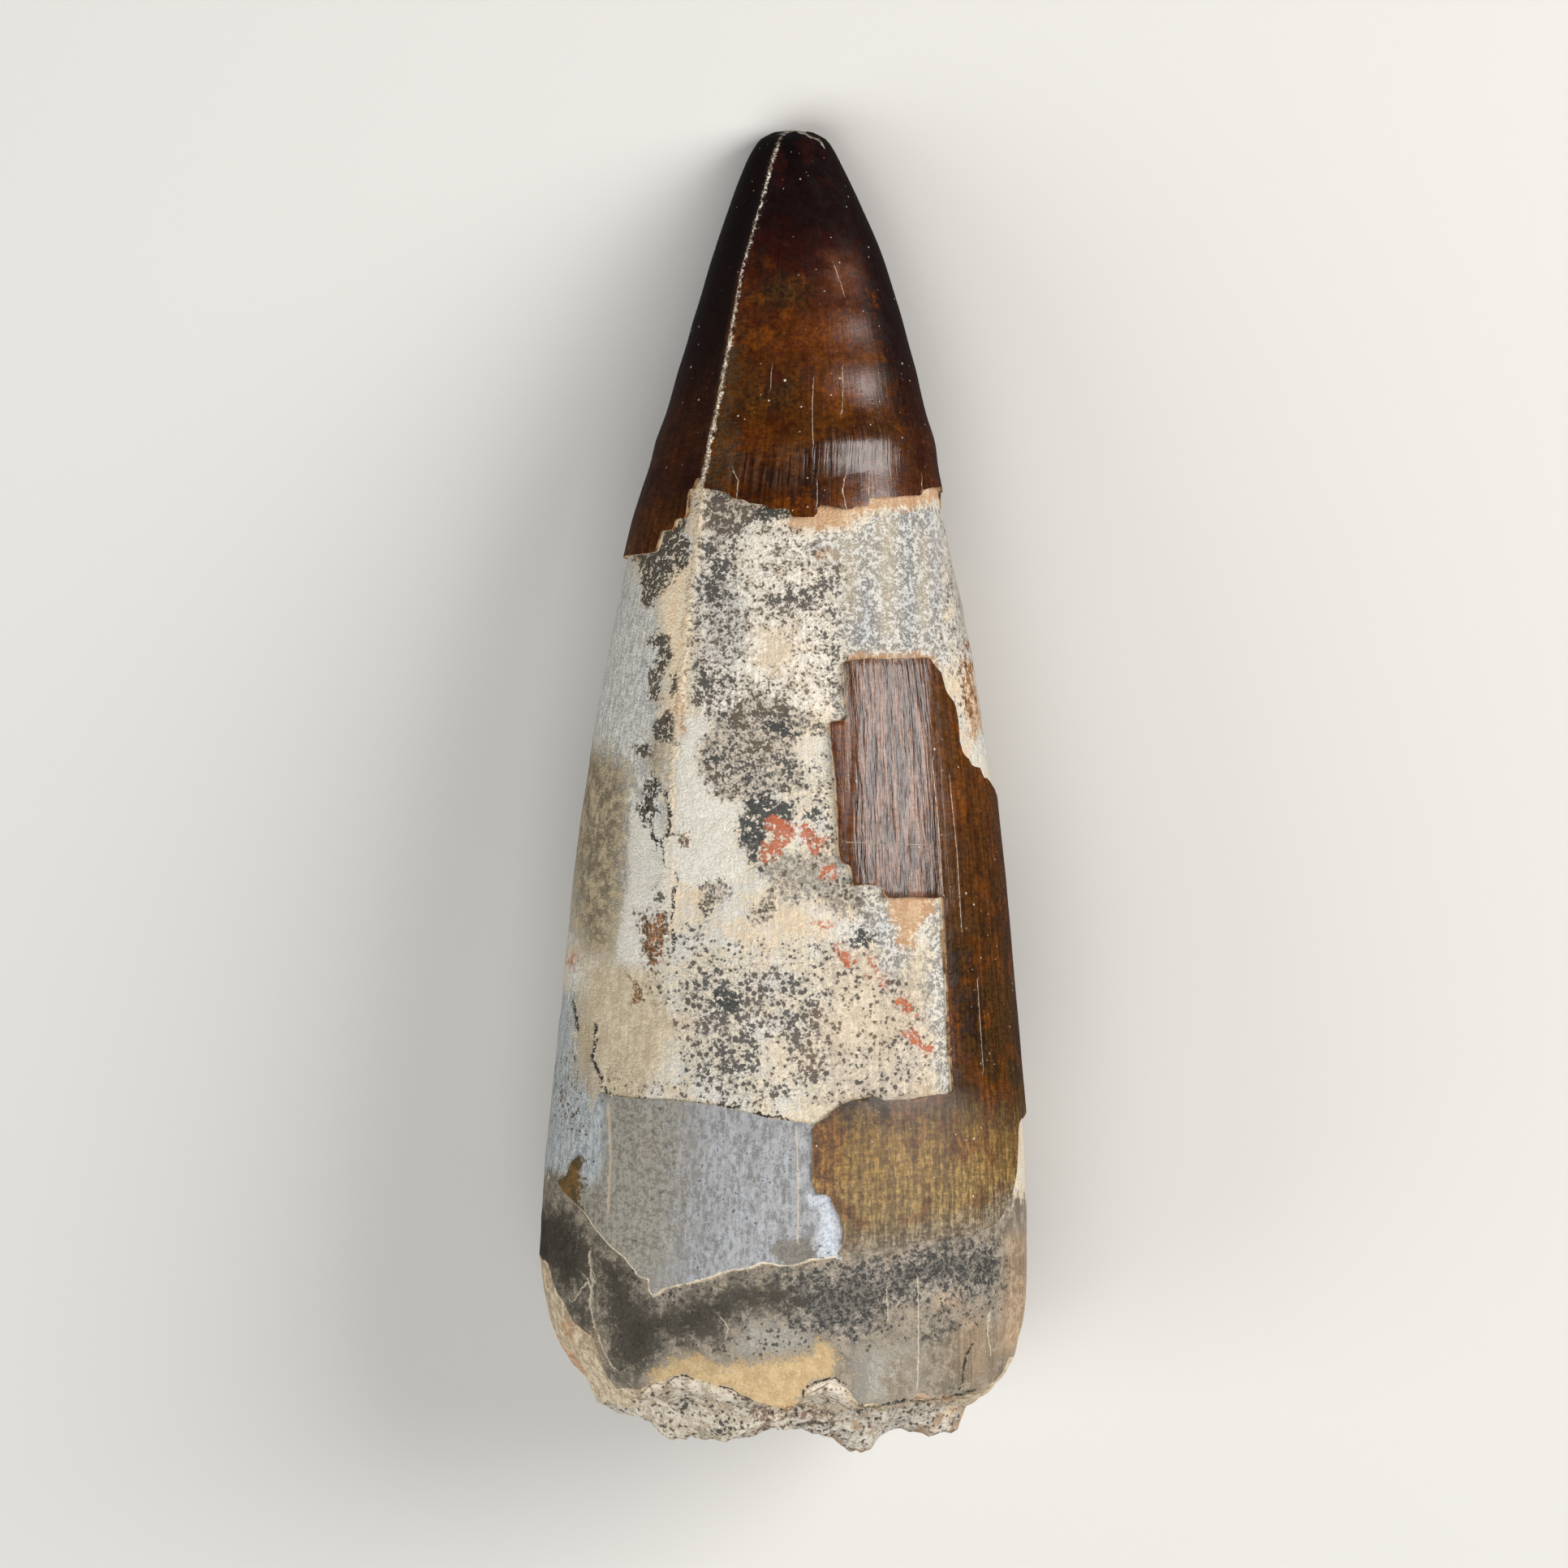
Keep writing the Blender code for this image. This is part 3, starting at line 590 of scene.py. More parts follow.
            [(-5.5, 1.5), (-5.5, 2.8), (-4.9, 3.5), (-4, 4.9), (-2, 6), (-0.5, 5.9), (1, 4.9), (2, 4.6),
             (2.6, 3.6), (1.2, 3.4), (0.6, 3.2), (0.4, 2.4), (1, 1.2), (1.2, 0), (0.3, 0.2), (-0.5, 0),
             (-2, -0.8), (-3.2, -0.3), (-4.1, -0.5), (-4.3, 0.3), (-5, 0.8)],
            [(-5.2, -5.8), (-4, -5.6), (-3.6, -6.6), (-4.4, -7.4), (-5.1, -8.3), (-5.6, -7.4)],
            [(-2.2, -7.6), (-0.9, -6.6), (-0.8, -8), (-1.9, -8.5)]]},
    "smear": {
        "tone": (182, 174, 160), "second": (88, 80, 71), "pattern": "worms", "soft": 0.6, "ragged": 1,
        "cover": 0.8, "outlines": [
            [(-1.6, -4.6), (0, -3.8), (1, -4), (2.6, -3.6), (3.2, -4.2), (3.4, -5), (4.2, -6),
             (5.6, -6.6), (5, -7.8), (3.4, -7.8), (2, -7), (0.5, -6.8), (-0.7, -6.4), (-1.2, -5.5)]]},
    "slate": {
        "tone": (34, 37, 37), "second": (66, 68, 65), "pattern": "grains", "soft": 0.14, "ragged": 0.6,
        "cover": 0.94, "lacy": 0.88, "outlines": [
            [(-2.1, -0.4), (-1, -0.6), (-0.3, -0.9), (0.5, -1.2), (0.5, -2), (-0.2, -2), (-1, -1.9),
             (-1.3, -2.6), (-1.2, -3), (-1.7, -3.6), (-1.8, -4.6), (-2.2, -4.8), (-2.4, -4.2),
             (-2.6, -3.4), (-3, -2.6), (-2.8, -1.6), (-2.4, -1)],
            [(1, -1.1), (2, -1.1), (2.1, -2), (1.1, -2)],
            [(-1.3, 4.3), (-0.8, 4.6), (-0.4, 4.2), (0.8, 4.1), (0.9, 3.5), (0.2, 3.2), (-0.5, 2.7),
             (-0.6, 3.4)], [(-5.3, 2.5), (-4.8, 2.5), (-4.8, 2.1), (-5.3, 2.1)],
            [(-4.4, -12.7), (-3, -12.5), (-2.9, -13.6), (-3.8, -14), (-4.5, -13.4)],
            [(4.4, -8.8), (5, -9), (5.3, -10), (4.5, -10.2)],
            [(-1.7, 18), (0.2, 18), (0.3, 17.3), (-0.8, 17), (-1.8, 17.3)]]},
    "darkOlive": {
        "tone": (34, 31, 25), "second": (92, 82, 68), "pattern": "grains", "soft": 0.14, "ragged": 0.65,
        "cover": 1, "lacy": 0.82, "outlines": [
            [(-9.8, 15.2), (-8.6, 15.4), (-8, 16.6), (-7.2, 16.9), (-6.9, 17.4), (-6.3, 17.4),
             (-6.5, 16.2), (-6, 15.8), (-6, 14.3), (-6.4, 13.8), (-7, 14.2), (-7.3, 13.2), (-7.9, 13.2),
             (-8, 12.5), (-8.5, 11.8), (-8.9, 11.6), (-9.2, 12.2), (-9.1, 13.5), (-9.4, 14.2)],
            [(-8.6, 9.6), (-8.1, 10.1), (-7.5, 9.8), (-7.4, 9), (-7.3, 8), (-7, 8.1), (-7.8, 7.4),
             (-8, 6.6), (-7.9, 6), (-8, 5.5), (-8.5, 5.7), (-8.4, 7.2), (-8.7, 7.4), (-8.6, 7.8),
             (-8.1, 8.1), (-8.1, 9), (-8.6, 9.2)],
            [(-7.3, 6), (-6.9, 6), (-6.8, 7.1), (-7.1, 7.3), (-7.4, 6.6)],
            [(-8.2, 4), (-7.9, 4.8), (-7.1, 4.6), (-7, 3), (-7.6, 3), (-8.2, 3.1)],
            [(-9.4, 2.8), (-8.9, 2.9), (-8.4, 2.7), (-8.4, 2.2), (-8.9, 2.2), (-9.4, 2.3)],
            [(-8.9, 0.2), (-8.4, 0.8), (-7.9, 0.2), (-8.3, -0.4), (-8.4, -1.8), (-8.8, -2.4),
             (-9.2, -1.2)], [(-8.3, -6.5), (-7.8, -6.4), (-7.8, -7), (-8.3, -7)]]},
    "red": {
        "tone": (150, 62, 34), "second": (184, 100, 62), "pattern": "blotches", "soft": 0.2,
        "ragged": 0.8, "cover": 0.88, "lacy": 0.88, "outlines": [
            [(-1.2, -1.9), (-0.4, -2), (0.4, -2.3), (0.4, -3.3), (-0.2, -3.9), (-0.9, -4.4), (-1.6, -4.3),
             (-1.3, -3.6), (-0.9, -3), (-1.1, -2.3)],
            [(1.2, -2.2), (1.7, -2.1), (1.9, -2.8), (2.3, -3.2), (2.4, -3.8), (1.5, -3.9), (1.3, -3)],
            [(2.1, -8.5), (2.7, -8.5), (2.7, -9.1), (2.1, -9.1)],
            [(3.3, -10), (4.2, -10.4), (4.1, -11), (3.4, -11.3)],
            [(5, -10.7), (5.6, -10.7), (5.6, -11.3), (5, -11.3)],
            [(5.7, -11.7), (6.2, -11.7), (6.2, -12.3), (5.7, -12.3)],
            [(7.1, -13.4), (7.6, -13.4), (8, -14.5), (7.5, -14.6)],
            [(7.6, -15), (8.2, -15.1), (8.8, -16.1), (9.2, -16.4), (8.9, -16.7), (8.2, -16.1)],
            [(2.4, -5), (2.9, -5), (2.8, -5.4), (2.4, -5.4)],
            [(-14, -10.8), (-13.6, -10.8), (-13.6, -11.2), (-14, -11.2)]]},
    # at the root
    "rootGrey": {
        "tone": (156, 144, 126), "second": (114, 106, 93), "pattern": "cloudy", "soft": 0.5,
        "ragged": 0.9, "cover": 1, "outlines": [
            [(-19, -24.4), (-12.6, -24.6), (-12, -27), (-8, -30), (3, -28.4), (9, -28), (13.4, -27),
             (14.4, -26), (19, -26.4), (19, -45), (-19, -45)]]},
    "rootPale": {
        "tone": (178, 174, 163), "second": (146, 142, 133), "pattern": "streaks", "soft": 0.8,
        "ragged": 1.4, "cover": 0.8, "outlines": [
            [(4.6, -35.4), (8.2, -35.4), (8.4, -38.8), (4.6, -39)],
            [(-3.4, -33.6), (0, -33.8), (2, -34.8), (0, -36), (-3.2, -36)]]},
    "rootDark": {
        "tone": (35, 33, 26), "second": (68, 63, 52), "pattern": "cloudy", "soft": 0.9, "ragged": 0.9,
        "cover": 0.92, "outlines": [
            [(-19, -26.6), (-14, -26.8), (-12.8, -28), (-12.3, -29), (-12.3, -29.8), (-12.5, -31),
             (-12.6, -32), (-13.2, -31.8), (-13.9, -32.3), (-14.4, -32), (-15.2, -31), (-19, -31)],
            [(-13.7, -32.6), (-13.1, -31.9), (-12.7, -32.8), (-12.4, -34), (-12.5, -34.6), (-12.9, -35),
             (-13.2, -34)],
            [(-12, -29.9), (-11, -29.9), (-10.2, -30.1), (-9.7, -31.2), (-9.2, -32.2), (-8.8, -32.9),
             (-7, -32.8), (-6, -32.1), (-4.5, -31.8), (-3.5, -31.2), (-2, -31.2), (0.5, -31.4),
             (1.2, -32.4), (-0.2, -33.1), (-2.8, -33.1), (-3, -34.4), (-3.9, -34), (-4.5, -35), (-6, -35),
             (-7.8, -34.9), (-8, -35.8), (-8.5, -36.6), (-9.8, -37.1), (-10.5, -37.1), (-11, -36),
             (-11.4, -34)]]},
    "rootSlate": {
        "tone": (112, 107, 98), "second": (46, 47, 46), "pattern": "worms", "soft": 1, "ragged": 1.4,
        "cover": 0.94, "outlines": [
            [(0, -30.6), (3, -30.6), (6, -30.1), (9, -29.2), (13.6, -28.8), (13.8, -31.4), (11.6, -32.2),
             (10.4, -31.4), (8.6, -31.9), (6.2, -32.6), (5, -34.4), (2.8, -34.6), (0.4, -33.2),
             (-0.4, -31.8)], [(9, -33.6), (10, -33.2), (10.4, -34.4), (9.2, -34.6)]]},
    "yellowCream": {
        "tone": (202, 175, 131), "second": (184, 157, 115), "pattern": "cloudy", "soft": 0.35,
        "ragged": 0.8, "cover": 1, "outlines": [
            [(-8.6, -37.2), (-7.5, -36.3), (-6, -36), (-4, -36.5), (-2, -36.3), (0, -36), (1.5, -35.8),
             (2.2, -35), (2.9, -35.2), (3.3, -36.5), (2.8, -37.3), (1.8, -37.6), (1, -38.6), (0.5, -40),
             (-9, -40)]]},
    "matrix": {
        "tone": (218, 208, 190), "second": (178, 160, 134), "pattern": "blotches", "soft": 0.12,
        "ragged": 0.4, "cover": 1, "outlines": [
            [(-9.4, -39), (-9, -38.2), (-8.4, -37.6), (-7.7, -37.8), (-7, -37.2), (-6.3, -37.1),
             (-5.8, -37.4), (-5, -37.6), (-4.3, -37.9), (-3.4, -37.9), (-2.8, -38.5), (-2, -38.8),
             (-1.2, -39.2), (0, -39.5), (0.6, -41), (0.6, -45), (-9.6, -45), (-10.6, -40.4)],
            [(1, -38.9), (1.1, -38.2), (1.9, -37.6), (3.1, -37.3), (3.6, -37.7), (3.9, -38.2), (4.1, -39),
             (3.6, -39.4), (2, -39.3)]]},
    "rustyMatrix": {
        "tone": (146, 100, 66), "second": (104, 74, 52), "pattern": "grains", "soft": 0.3, "ragged": 0.8,
        "cover": 0.8, "lacy": 0.75, "outlines": [
            [(-2.4, -39.2), (0, -39.4), (1, -39.2), (3, -39.4), (3.4, -40), (2, -40.2), (0, -40.1),
             (-2, -40.6)]]},
    # on the enamel
    "amber": {
        "tone": (124, 64, 6), "second": (96, 44, 6), "pattern": "blotches", "soft": 0.9, "ragged": 1.6,
        "cover": 0.85, "outlines": [
            [(-0.5, 28), (4.4, 27.8), (4.9, 29.6), (1.6, 30.4)],
            [(-3.2, 21.8), (-0.8, 21.9), (-0.6, 23.1), (-2.6, 23.4)],
            [(1.5, 25), (5, 24.6), (5.4, 26), (2, 26.2)],
            [(-0.4, 17.4), (9.9, 18.4), (9.6, 19.9), (4, 19.3), (-0.4, 18.9)],
            [(2.4, 32), (4.4, 31.6), (4.6, 33.6), (3, 34)],
            [(2.6, 4.8), (4.1, 4.6), (4.3, -5.4), (3.4, -5)],
            [(10, -12.3), (10.9, -12.3), (11.1, -17.4), (10.2, -17.6)]]},
    "orangeBrown": {
        "tone": (150, 94, 30), "second": (118, 76, 26), "pattern": "blotches", "soft": 0.8, "ragged": 1.2,
        "cover": 0.8, "outlines": [
            [(1.6, -21.2), (3, -21.4), (3.4, -25.2), (1.6, -26)]]},
    "greenish": {
        "tone": (74, 60, 34), "second": (48, 36, 14), "pattern": "blotches", "soft": 0.8, "ragged": 1.2,
        "cover": 0.6, "outlines": [
            [(-4, 28), (-2.9, 30), (-2.6, 28), (-3, 25), (-3.6, 21), (-4.6, 19.4), (-5, 21), (-4.2, 25)],
            [(-1, 33), (1.6, 32.4), (1.2, 30.8), (-2, 31)],
            [(-3, 25.4), (0.8, 26), (0.4, 24.4), (-2.6, 24.2)]]},
    # partly the enamel's dark stains, partly painted shade: along the top of the lower enamel patch and down
    # the crown's right side
    "blackishAndShade": {
        "tone": (20, 11, 5), "second": (40, 22, 9), "pattern": "blotches", "soft": 0.9, "ragged": 1.6,
        "cover": 0.75, "outlines": [
            [(10.2, -9.6), (11.2, -9.8), (11.1, -12.4), (10.3, -12.4)],
            [(11, -13.2), (12.6, -13.4), (12.5, -15.8), (11, -15.6)],
            [(3, -19.2), (6.2, -19.2), (6.4, -20), (3, -20.3)],
            [(-1.6, 19.2), (2.4, 18.8), (2.2, 20.4), (-1.4, 20.6)],
            [(5.2, 31.4), (7.2, 31), (9.4, 22), (7.6, 24)]]},
    "hazyEnd": {
        "tone": (160, 152, 134), "second": (136, 124, 100), "pattern": "grains", "soft": 1.1,
        "ragged": 1.2, "cover": 0.85, "outlines": [
            [(1.6, -28.6), (5, -28.4), (9, -27.8), (12, -27), (14, -25.6), (17, -25), (17, -33),
             (0, -33)]]},
    # painted sheen: the pale pinkish tone stands in for the light's reflection on the window's wrinkle
    # ridges; the dark tone is the enamel's own brown between them
    "wrinkledSheen": {
        "tone": (144, 106, 84), "second": (58, 28, 11), "pattern": "wrinkles", "soft": 0.35,
        "ragged": 0.5, "cover": 0.8, "outlines": [
            [(4.2, 8.2), (9.3, 8.2), (9.2, 2), (9.6, -2), (9.9, -6.8), (6.4, -6.8), (4.6, -6), (4.2, -4),
             (4.4, 0), (4.5, 4)]]},
    # painted sheen: the greyish pink tone stands in for the light's reflection on the crown's low band; the
    # dark tone is the enamel's own brown
    "finelyWrinkledSheen": {
        "tone": (98, 66, 46), "second": (44, 22, 10), "pattern": "wrinkles", "soft": 0.6, "ragged": 0.9,
        "cover": 0.65, "outlines": [
            [(-4, 21.4), (-1.6, 21.4), (1.6, 22), (2.6, 23), (6.8, 23.2), (7.6, 21), (4, 20.2),
             (-0.6, 19), (-4, 19.6)]]},
    "scuffed": {
        "tone": (166, 154, 134), "second": (72, 60, 42), "pattern": "worms", "soft": 0.3, "ragged": 1,
        "cover": 0.6, "lacy": 0.45, "outlines": [
            [(-5, 19.6), (-4.6, 22.6), (-4, 25.6), (-3.6, 28.4), (-3.3, 28.4), (-3.4, 25), (-3.2, 22.6),
             (-3, 20.4), (-4, 19.2)]]},
    # on the grey layer
    "brownStub": {
        "tone": (118, 88, 42), "second": (78, 66, 40), "pattern": "blotches", "soft": 0.14, "ragged": 0.5,
        "cover": 1, "outlines": [
            [(-15.4, -24.4), (-13.2, -23), (-12.9, -24), (-13.1, -26.2), (-12.7, -27.6),
             (-15.4, -27.4)]]},
    "warmGrey": {
        "tone": (152, 146, 132), "second": (118, 112, 99), "pattern": "grains", "soft": 2, "ragged": 1.6,
        "cover": 0.9, "outlines": [
            [(-14, -19), (-6.4, -19), (-6.4, -24), (-7.4, -33), (-14, -33)]]},
    "sugary": {
        "tone": (204, 208, 214), "second": (176, 182, 190), "pattern": "grains", "soft": 1.6,
        "ragged": 1.4, "cover": 0.55, "lacy": 0.3, "outlines": [
            [(-5.4, -20.4), (-0.6, -21), (1, -23), (0.8, -27.6), (-1.4, -30.4), (-5.6, -31.4),
             (-8, -31.4), (-5.2, -28.6), (-4.4, -25)]]},
    "blueWhite": {
        "tone": (204, 209, 216), "second": (168, 175, 184), "pattern": "grains", "soft": 0.3,
        "ragged": 0.9, "cover": 0.85, "outlines": [
            [(1.6, -25.5), (2.9, -25.5), (3.6, -26.9), (4, -29.9), (2, -29.6), (2.1, -27.6)]]},
    "greyOval": {
        "tone": (122, 116, 106), "second": (100, 95, 87), "pattern": "grains", "soft": 0.14,
        "ragged": 0.4, "cover": 0.9, "outlines": [
            [(-1, -29), (0, -28.4), (1.3, -28.4), (2, -29), (1.8, -29.9), (0.5, -30.1), (-0.6, -29.9)]]},
}

# Black mineral specks: how closely they stand, in outlines and in discs (across, along, radius)
speckles = {
    "soft": 0.7,
    "outlines": [
        (0.3, [(-6, 19), (0, 17), (3.2, 14.5), (3.2, 5), (-6, 5)]),
        (0.3, [(-6, 14), (-3.6, 14), (-3.2, 9), (-3.6, 4.8), (-6.2, 4.8)]),
        (0.5, [(-5, 19.3), (-2.5, 18.4), (-2, 16.8), (-3, 15.6), (-3.6, 13.4), (-5.4, 13.4)]),
        (0.3, [(-1.4, 17), (1, 16.6), (1.4, 14.2), (-1, 14)]),
        (0.35, [(-1.6, 12.6), (2.2, 13.6), (2.2, 11.4), (-1.4, 10.6)]),
        (0.3, [(2.6, 14.2), (3.5, 14.2), (3.5, 6.4), (2.6, 6.4)]),
        (0.35, [(-6, 7), (-0.4, 7), (0.6, 4.8), (-4.8, 4.2)]),
        (0.5,  [(-5.6, 1.2), (-5.5, 3), (-3.8, 5), (-0.6, 5.6), (2, 4.6), (1, 3.4), (0.4, 2.2), (1.2, 0),
               (-4.2, -0.6)]),
        (0.42, [(1.2, 2), (3.1, 2.2), (3.3, -4), (1.2, -4)]),
        (0.6, [(-3, -0.6), (0.6, -0.8), (0.6, -2.2), (-1, -3), (-1.6, -4.9), (-3, -3.6)]),
        (0.3, [(-1.6, -4.4), (3.2, -3.8), (5.6, -6.8), (4, -8), (-1, -6.6)]),
        (0.42, [(-7.2, -12), (-4, -11), (1, -11.4), (3, -13), (2.6, -18.4), (-1, -19.4), (-6.4, -18.6)]),
        (0.24, [(-7.4, -9.8), (-3.5, -9.4), (3.4, -9.6), (8.6, -12.6), (8.6, -19), (3, -20), (-5, -20)]),
        (0.5, [(-5.4, -13), (-1.6, -13.4), (-1.8, -17.4), (-4.4, -17.6)]),
        (0.12, [(-12.4, -17), (-7, -18.6), (-7, -20), (-12.2, -20)]),
        (0.3, [(-7, -19), (-1.6, -19.6), (0, -20.8), (-5, -20.2)]),
        (0.06, [(3.4, 17.4), (10.4, 18), (10.6, 9), (3.4, 8.6)]),
        (0.5, [(-9.4, -7.6), (-7.6, -7.6), (-7.8, -11.6), (-9, -11)]),
        (0.25, [(-12, -30), (14, -29), (14, -34), (3.4, -36), (-11, -37.4)]),
        (0.45, [(0, -31), (9, -29.6), (13, -29.2), (13, -31.6), (6, -32.8), (4.4, -34.6), (1, -34)]),
        (0.2, [(10, 18.6), (12.4, 10), (13, 3), (11, 4), (10, 10)]),
        (0.22, [(-9.6, -38), (-6, -37), (-1, -39.2), (0, -45), (-10, -45)]),
        (0.25, [(1, -37.6), (3.6, -37.4), (4, -40), (1, -40)]),
        (0.16, [(4, -39.4), (11.6, -38.8), (11, -43), (3, -43)]),
        (0.2, [(-15, -16.6), (-13.4, -16.6), (-12.6, -22), (-15, -22)])],
    "discs":  [(-3.7, -13.2, 0.9, 0.5), (1.8, -13.9, 0.8, 0.45), (1, -16.5, 1.2, 0.5),
              (1.7, -17.8, 0.7, 0.5), (-2.4, -12.5, 0.6, 0.5), (-8, -12.8, 0.7, 0.3),
              (-4.4, -6.5, 0.8, 0.5), (-1.6, -7.8, 0.6, 0.5), (6.6, -12.6, 0.7, 0.4),
              (7.4, -14, 0.6, 0.4), (5.2, -16.6, 0.6, 0.35), (8, -15.4, 0.6, 0.4),
              (4.6, -18.4, 0.6, 0.35), (3.4, -11.4, 0.6, 0.4), (6.8, -18.6, 0.6, 0.35),
              (-5.8, -9.4, 0.8, 0.45), (-4.6, 1.5, 0.6, 0.75), (-3.3, 0.5, 0.6, 0.75),
              (-1.7, 0.3, 0.7, 0.75), (-3.5, 2.9, 0.7, 0.75), (-1.3, 2.5, 0.8, 0.7), (0.1, 1.3, 0.6, 0.7),
              (-2.7, 4.5, 0.6, 0.7), (-0.5, 4.5, 0.6, 0.75), (-4.3, 18.1, 0.8, 0.8),
              (-3.7, 16.2, 0.7, 0.8), (-2.5, 17.6, 0.6, 0.8), (-4.6, 14.9, 0.6, 0.7),
              (-4.6, 12.4, 0.7, 0.6), (-4.9, 7.6, 0.7, 0.6), (2.3, 9.8, 0.5, 0.5), (-5.6, -12, 0.9, 0.35),
              (1.2, 12.2, 0.8, 0.4), (-0.4, 11.2, 0.7, 0.4), (3.2, 8.6, 0.5, 0.4), (3, 7, 0.5, 0.4),
              (8.5, -30.2, 1.2, 0.5), (11.4, -31, 1, 0.5), (12.4, -29.8, 0.9, 0.5), (5, -31.6, 0.9, 0.5),
              (3.8, -33.4, 1, 0.5), (1.5, -32.4, 1, 0.5), (4.8, -9.4, 0.9, 0.5), (8.4, -16.9, 1.2, 0.2),
              (-6.5, -39.2, 0.7, 0.4), (-4, -40.6, 0.6, 0.4), (-3, -38.8, 0.6, 0.4),
              (3.1, 11.6, 0.5, 0.4), (3, 13.2, 0.5, 0.4), (5, -40.4, 0.5, 0.4), (7.6, -40.4, 0.5, 0.3),
              (8.2, -39.4, 0.5, 0.3)],
    "bare": [
        [(-1.4, -15.6), (0.2, -15.6), (0.2, -18.8), (-1.4, -18.8)],
        [(-2.4, 10.2), (0.6, 10.2), (0.4, 7.4), (-2.2, 7.2)],
        [(0.8, 2.1), (1.9, 2.1), (1.9, 3.2), (0.8, 3.2)],
        [(-7.4, 5), (-5.8, 4.6), (-5.8, -0.6), (-3.2, -1.2), (-3.4, -5.4), (-7.4, -6)]],
}

# Cracks and thin lines, half as wide as the first number
lines = {
    "dark": [
        (0.12,  [(-12.1, -15), (-12.15, -16.4), (-12.4, -17.2), (-12.1, -17.6), (-11.5, -18.9),
                (-11.25, -19.5), (-11.3, -20)]),
        (0.1,  [(-8.4, 0.8), (-8.1, 0.3), (-8.6, -0.2), (-8.9, -0.6), (-9.3, -1), (-9.2, -1.6),
                (-9.1, -2.1)]),
        (0.12,  [(-8, 0), (-7.6, -0.3), (-7.4, -1), (-7.4, -2.5), (-7.6, -3), (-7.9, -3.3), (-8.2, -3.2),
                (-8.4, -2.9), (-8.6, -2), (-8.7, -1.1)]),
        (0.08, [(-7.7, -3.6), (-7.75, -4.2), (-7.7, -4.8)]),
        (0.12, [(-7.1, -6.2), (-7.2, -8), (-7.1, -10.2)]), (0.08, [(-7, -5.3), (-6.8, -5.8)]),
        (0.12, [(-13.6, -13.5), (-13.4, -14.4), (-13.3, -15.3)]),
        (0.1, [(-5.3, -19.5), (-4.8, -19.8), (-3.5, -20.15), (-3, -20.1)]),
        (0.1, [(-2, -20.5), (-1.3, -20.7), (-0.4, -20.7), (0.2, -20.95)]),
        (0.07, [(11.9, -35.3), (11.5, -36), (11.3, -37), (11.2, -38)]),
        (0.12,  [(4.4, -39.1), (5.5, -39.3), (6.4, -39), (7.5, -38.9), (8.3, -39), (10, -38.8),
                (11.2, -38.6), (12, -38.4)]),
        (0.08, [(1.1, -38.6), (1.2, -38), (1.9, -37.6), (3.1, -37.3), (3.7, -37.7)]),
        (0.05,  [(-9.4, -38.9), (-9, -38.2), (-8.4, -37.7), (-7.7, -37.8), (-7, -37.3), (-6.3, -37.2),
                (-5.8, -37.5), (-5, -37.6), (-4.3, -37.9), (-3.4, -38), (-2.8, -38.5), (-2, -38.8)]),
        (0.16, [(0.6, -40.5), (1.8, -40.4), (3, -40.5)])],
    "pale": [
        (0.02, [(-0.9, 26.9), (-0.95, 25.5)]), (0.025, [(1.75, 26), (1.7, 24), (1.75, 22)]),
        (0.025, [(3.6, 27), (3.65, 25.5), (3.6, 24)]), (0.02, [(3.1, 33.6), (3.5, 32.4), (3.8, 31.4)]),
        (0.035, [(3.8, 20), (3.6, 19), (3.9, 17.7)]), (0.03, [(5.3, 20), (5.3, 18.3)]),
        (0.025, [(2, 19.5), (2, 18)]), (0.035, [(-3.4, 20.4), (-3, 19.6), (-3.1, 18.7)]),
        (0.02, [(8.7, 20), (8.7, 19)]), (0.03, [(9.3, 2), (9.7, -2), (9.9, -5.5), (10, -6.7)]),
        (0.02, [(3.8, -3.3), (8.9, -3.5)]), (0.02, [(12.2, -12), (12.4, -15), (12.6, -18)]),
        (0.02, [(10.4, 1), (10.9, -4), (11.2, -9)]), (0.06, [(-0.3, 42.2), (0.4, 42.35)]),
        (0.06, [(0.8, 42.3), (1.3, 42.2)]), (0.05, [(1.6, 41.9), (2.2, 41.8), (2.5, 41.2)]),
        (0.09, [(-11.3, -19.7), (-11.1, -23), (-11.3, -27)]),
        (0.05, [(0.7, -21.6), (0.8, -25), (0.75, -28.6)]), (0.035, [(8.4, -31), (8.45, -34), (8.4, -38)]),
        (0.03, [(6.4, -31.6), (6.5, -33.6)]),
        (0.07, [(-12.5, -29.4), (-12.3, -31.5), (-12.45, -33), (-12.1, -34.6)]),
        (0.05, [(-13.5, -32.6), (-12.9, -31.7), (-12.3, -31)]),
        (0.04, [(-11.9, -35), (-11.4, -36.2), (-10.8, -37)]),
        (0.03, [(-4.2, -33.4), (-3.6, -34), (-3.8, -34.8)]),
        (0.04, [(13, -33.4), (12.9, -34.6), (13.1, -36)])],
    "reach": 0.35,  # how far a line takes to fade at its ends
    "faintFrom": 0.35,  # and how far beside it
    "faintTo": 0.9,
}
hidden = {"warp": 7.0, "size": 8.0}  # behind, the same stains run on, pushed about by a slow noise


def seenPlaces(points, angle):
    away = eased(-np.cos(np.radians(angle)), 0.05, 0.6) * hidden["warp"]
    across = points[:, 0] + away * noiseAt(points, hidden["size"], 3.0)
    along = points[:, 1] + away * noiseAt(points, hidden["size"], 11.0)
    return across, along


def setValue(tooth, name, values):
    made = tooth.data.attributes.new(name, "FLOAT", "POINT")
    made.data.foreach_set("value", np.asarray(values, np.float32))


def nearestOutline(across, along, outlines):
    found = np.full(len(across), -3.0)
    for outline in outlines:
        found = np.maximum(found, distanceInside(across, along, outline))
    return np.clip(found, -3, 3)


